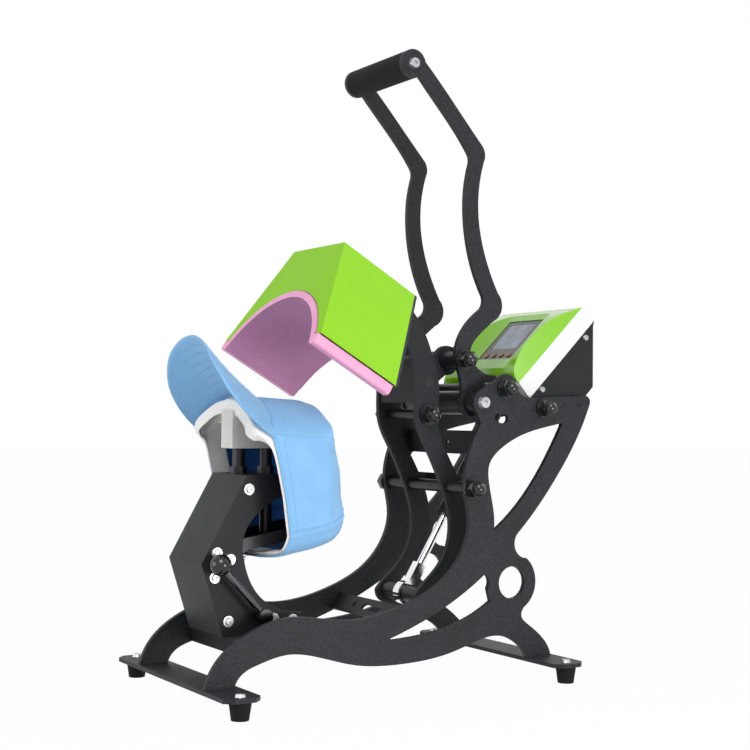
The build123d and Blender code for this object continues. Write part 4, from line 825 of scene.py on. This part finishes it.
floor_mesh = bpy.data.meshes.new("floor")
floor_half = 8.0
floor_mesh.from_pydata([(-floor_half, -floor_half, 0), (floor_half, -floor_half, 0),
                        (floor_half, floor_half, 0), (-floor_half, floor_half, 0)],
                       [], [(0, 1, 2, 3)])
floor = bpy.data.objects.new("floor", floor_mesh)
bpy.context.scene.collection.objects.link(floor)
floor_material, floor_tree, floor_shader = new_material("floor_white")
floor_shader.inputs["Base Color"].default_value = (0.86, 0.86, 0.86, 1)
floor_shader.inputs["Roughness"].default_value = 0.9
glow = floor_tree.nodes.new("ShaderNodeEmission")
glow.inputs["Strength"].default_value = 1.0
paths = floor_tree.nodes.new("ShaderNodeLightPath")
either = floor_tree.nodes.new("ShaderNodeMath")
either.operation = "MAXIMUM"
floor_tree.links.new(paths.outputs["Is Camera Ray"], either.inputs[0])
floor_tree.links.new(paths.outputs["Is Glossy Ray"], either.inputs[1])
keep = floor_tree.nodes.new("ShaderNodeMath")
keep.operation = "MULTIPLY"
keep.inputs[1].default_value = 0.975  # the rest stays floor, so that it takes the shadow
floor_tree.links.new(either.outputs[0], keep.inputs[0])
blend_floor = floor_tree.nodes.new("ShaderNodeMixShader")
floor_tree.links.new(keep.outputs[0], blend_floor.inputs[0])
floor_tree.links.new(floor_shader.outputs[0], blend_floor.inputs[1])
floor_tree.links.new(glow.outputs[0], blend_floor.inputs[2])
floor_out = floor_tree.nodes["Material Output"]
floor_tree.links.new(blend_floor.outputs[0], floor_out.inputs["Surface"])
floor_mesh.materials.append(floor_material)

world = bpy.data.worlds.new("studio")
bpy.context.scene.world = world
world.use_nodes = True
sky_tree = world.node_tree
sky = sky_tree.nodes["Background"]
sky.inputs["Color"].default_value = (1, 1, 1, 1)
sky_paths = sky_tree.nodes.new("ShaderNodeLightPath")
seen = sky_tree.nodes.new("ShaderNodeMath")
seen.operation = "MAXIMUM"
mirrored = sky_tree.nodes.new("ShaderNodeMath")
mirrored.operation = "MAXIMUM"
sky_tree.links.new(sky_paths.outputs["Is Glossy Ray"], mirrored.inputs[0])
sky_tree.links.new(sky_paths.outputs["Is Transmission Ray"], mirrored.inputs[1])
sky_tree.links.new(sky_paths.outputs["Is Camera Ray"], seen.inputs[0])
sky_tree.links.new(mirrored.outputs[0], seen.inputs[1])
strength = ranged(sky_tree, seen.outputs[0], 0.0, 1.0, 0.32, 1.0)
sky_tree.links.new(strength, sky.inputs["Strength"])

for name, place, aim, size, power in (
        ("key", (1.5, -0.9, 1.9), (0, 0, 0.3), 1.2, 31.0),
        ("front", (-0.3, -1.7, 0.25), (0, -0.1, 0.2), 1.2, 12.0),
        ("low", (0.90, 0.10, 0.08), (0.05, -0.10, 0.10), 0.35, 4.5),
        ("rim", (0.3, 1.8, 1.6), (0, 0, 0.35), 1.2, 12.0)):
    lamp = bpy.data.lights.new(name, "AREA")
    lamp.size = size
    lamp.energy = power
    lamp_object = bpy.data.objects.new(name, lamp)
    bpy.context.scene.collection.objects.link(lamp_object)
    lamp_object.location = place
    heading = Vector(aim) - Vector(place)
    lamp_object.rotation_euler = heading.to_track_quat("-Z", "Y").to_euler()

camera_data = bpy.data.cameras.new("camera")
camera_data.sensor_width = 36.0
camera_data.lens = 68.22
camera_data.clip_end = 30.0
camera = bpy.data.objects.new("camera", camera_data)
bpy.context.scene.collection.objects.link(camera)
camera_place = Vector((1.2216, -0.7265 - centre_y, 0.2638))
forward = Vector((-0.8513, 0.5239, 0.0276)).normalized()
level_right = forward.cross(Vector((0, 0, 1))).normalized()
level_up = level_right.cross(forward)
roll = radians(0.538)
camera_right = cos(roll) * level_right + sin(roll) * level_up
camera_up = cos(roll) * level_up - sin(roll) * level_right
camera.matrix_world = Matrix((
    (camera_right.x, camera_up.x, -forward.x, camera_place.x),
    (camera_right.y, camera_up.y, -forward.y, camera_place.y),
    (camera_right.z, camera_up.z, -forward.z, camera_place.z),
    (0, 0, 0, 1)))
bpy.context.scene.camera = camera
bpy.context.scene.view_settings.view_transform = "Standard"
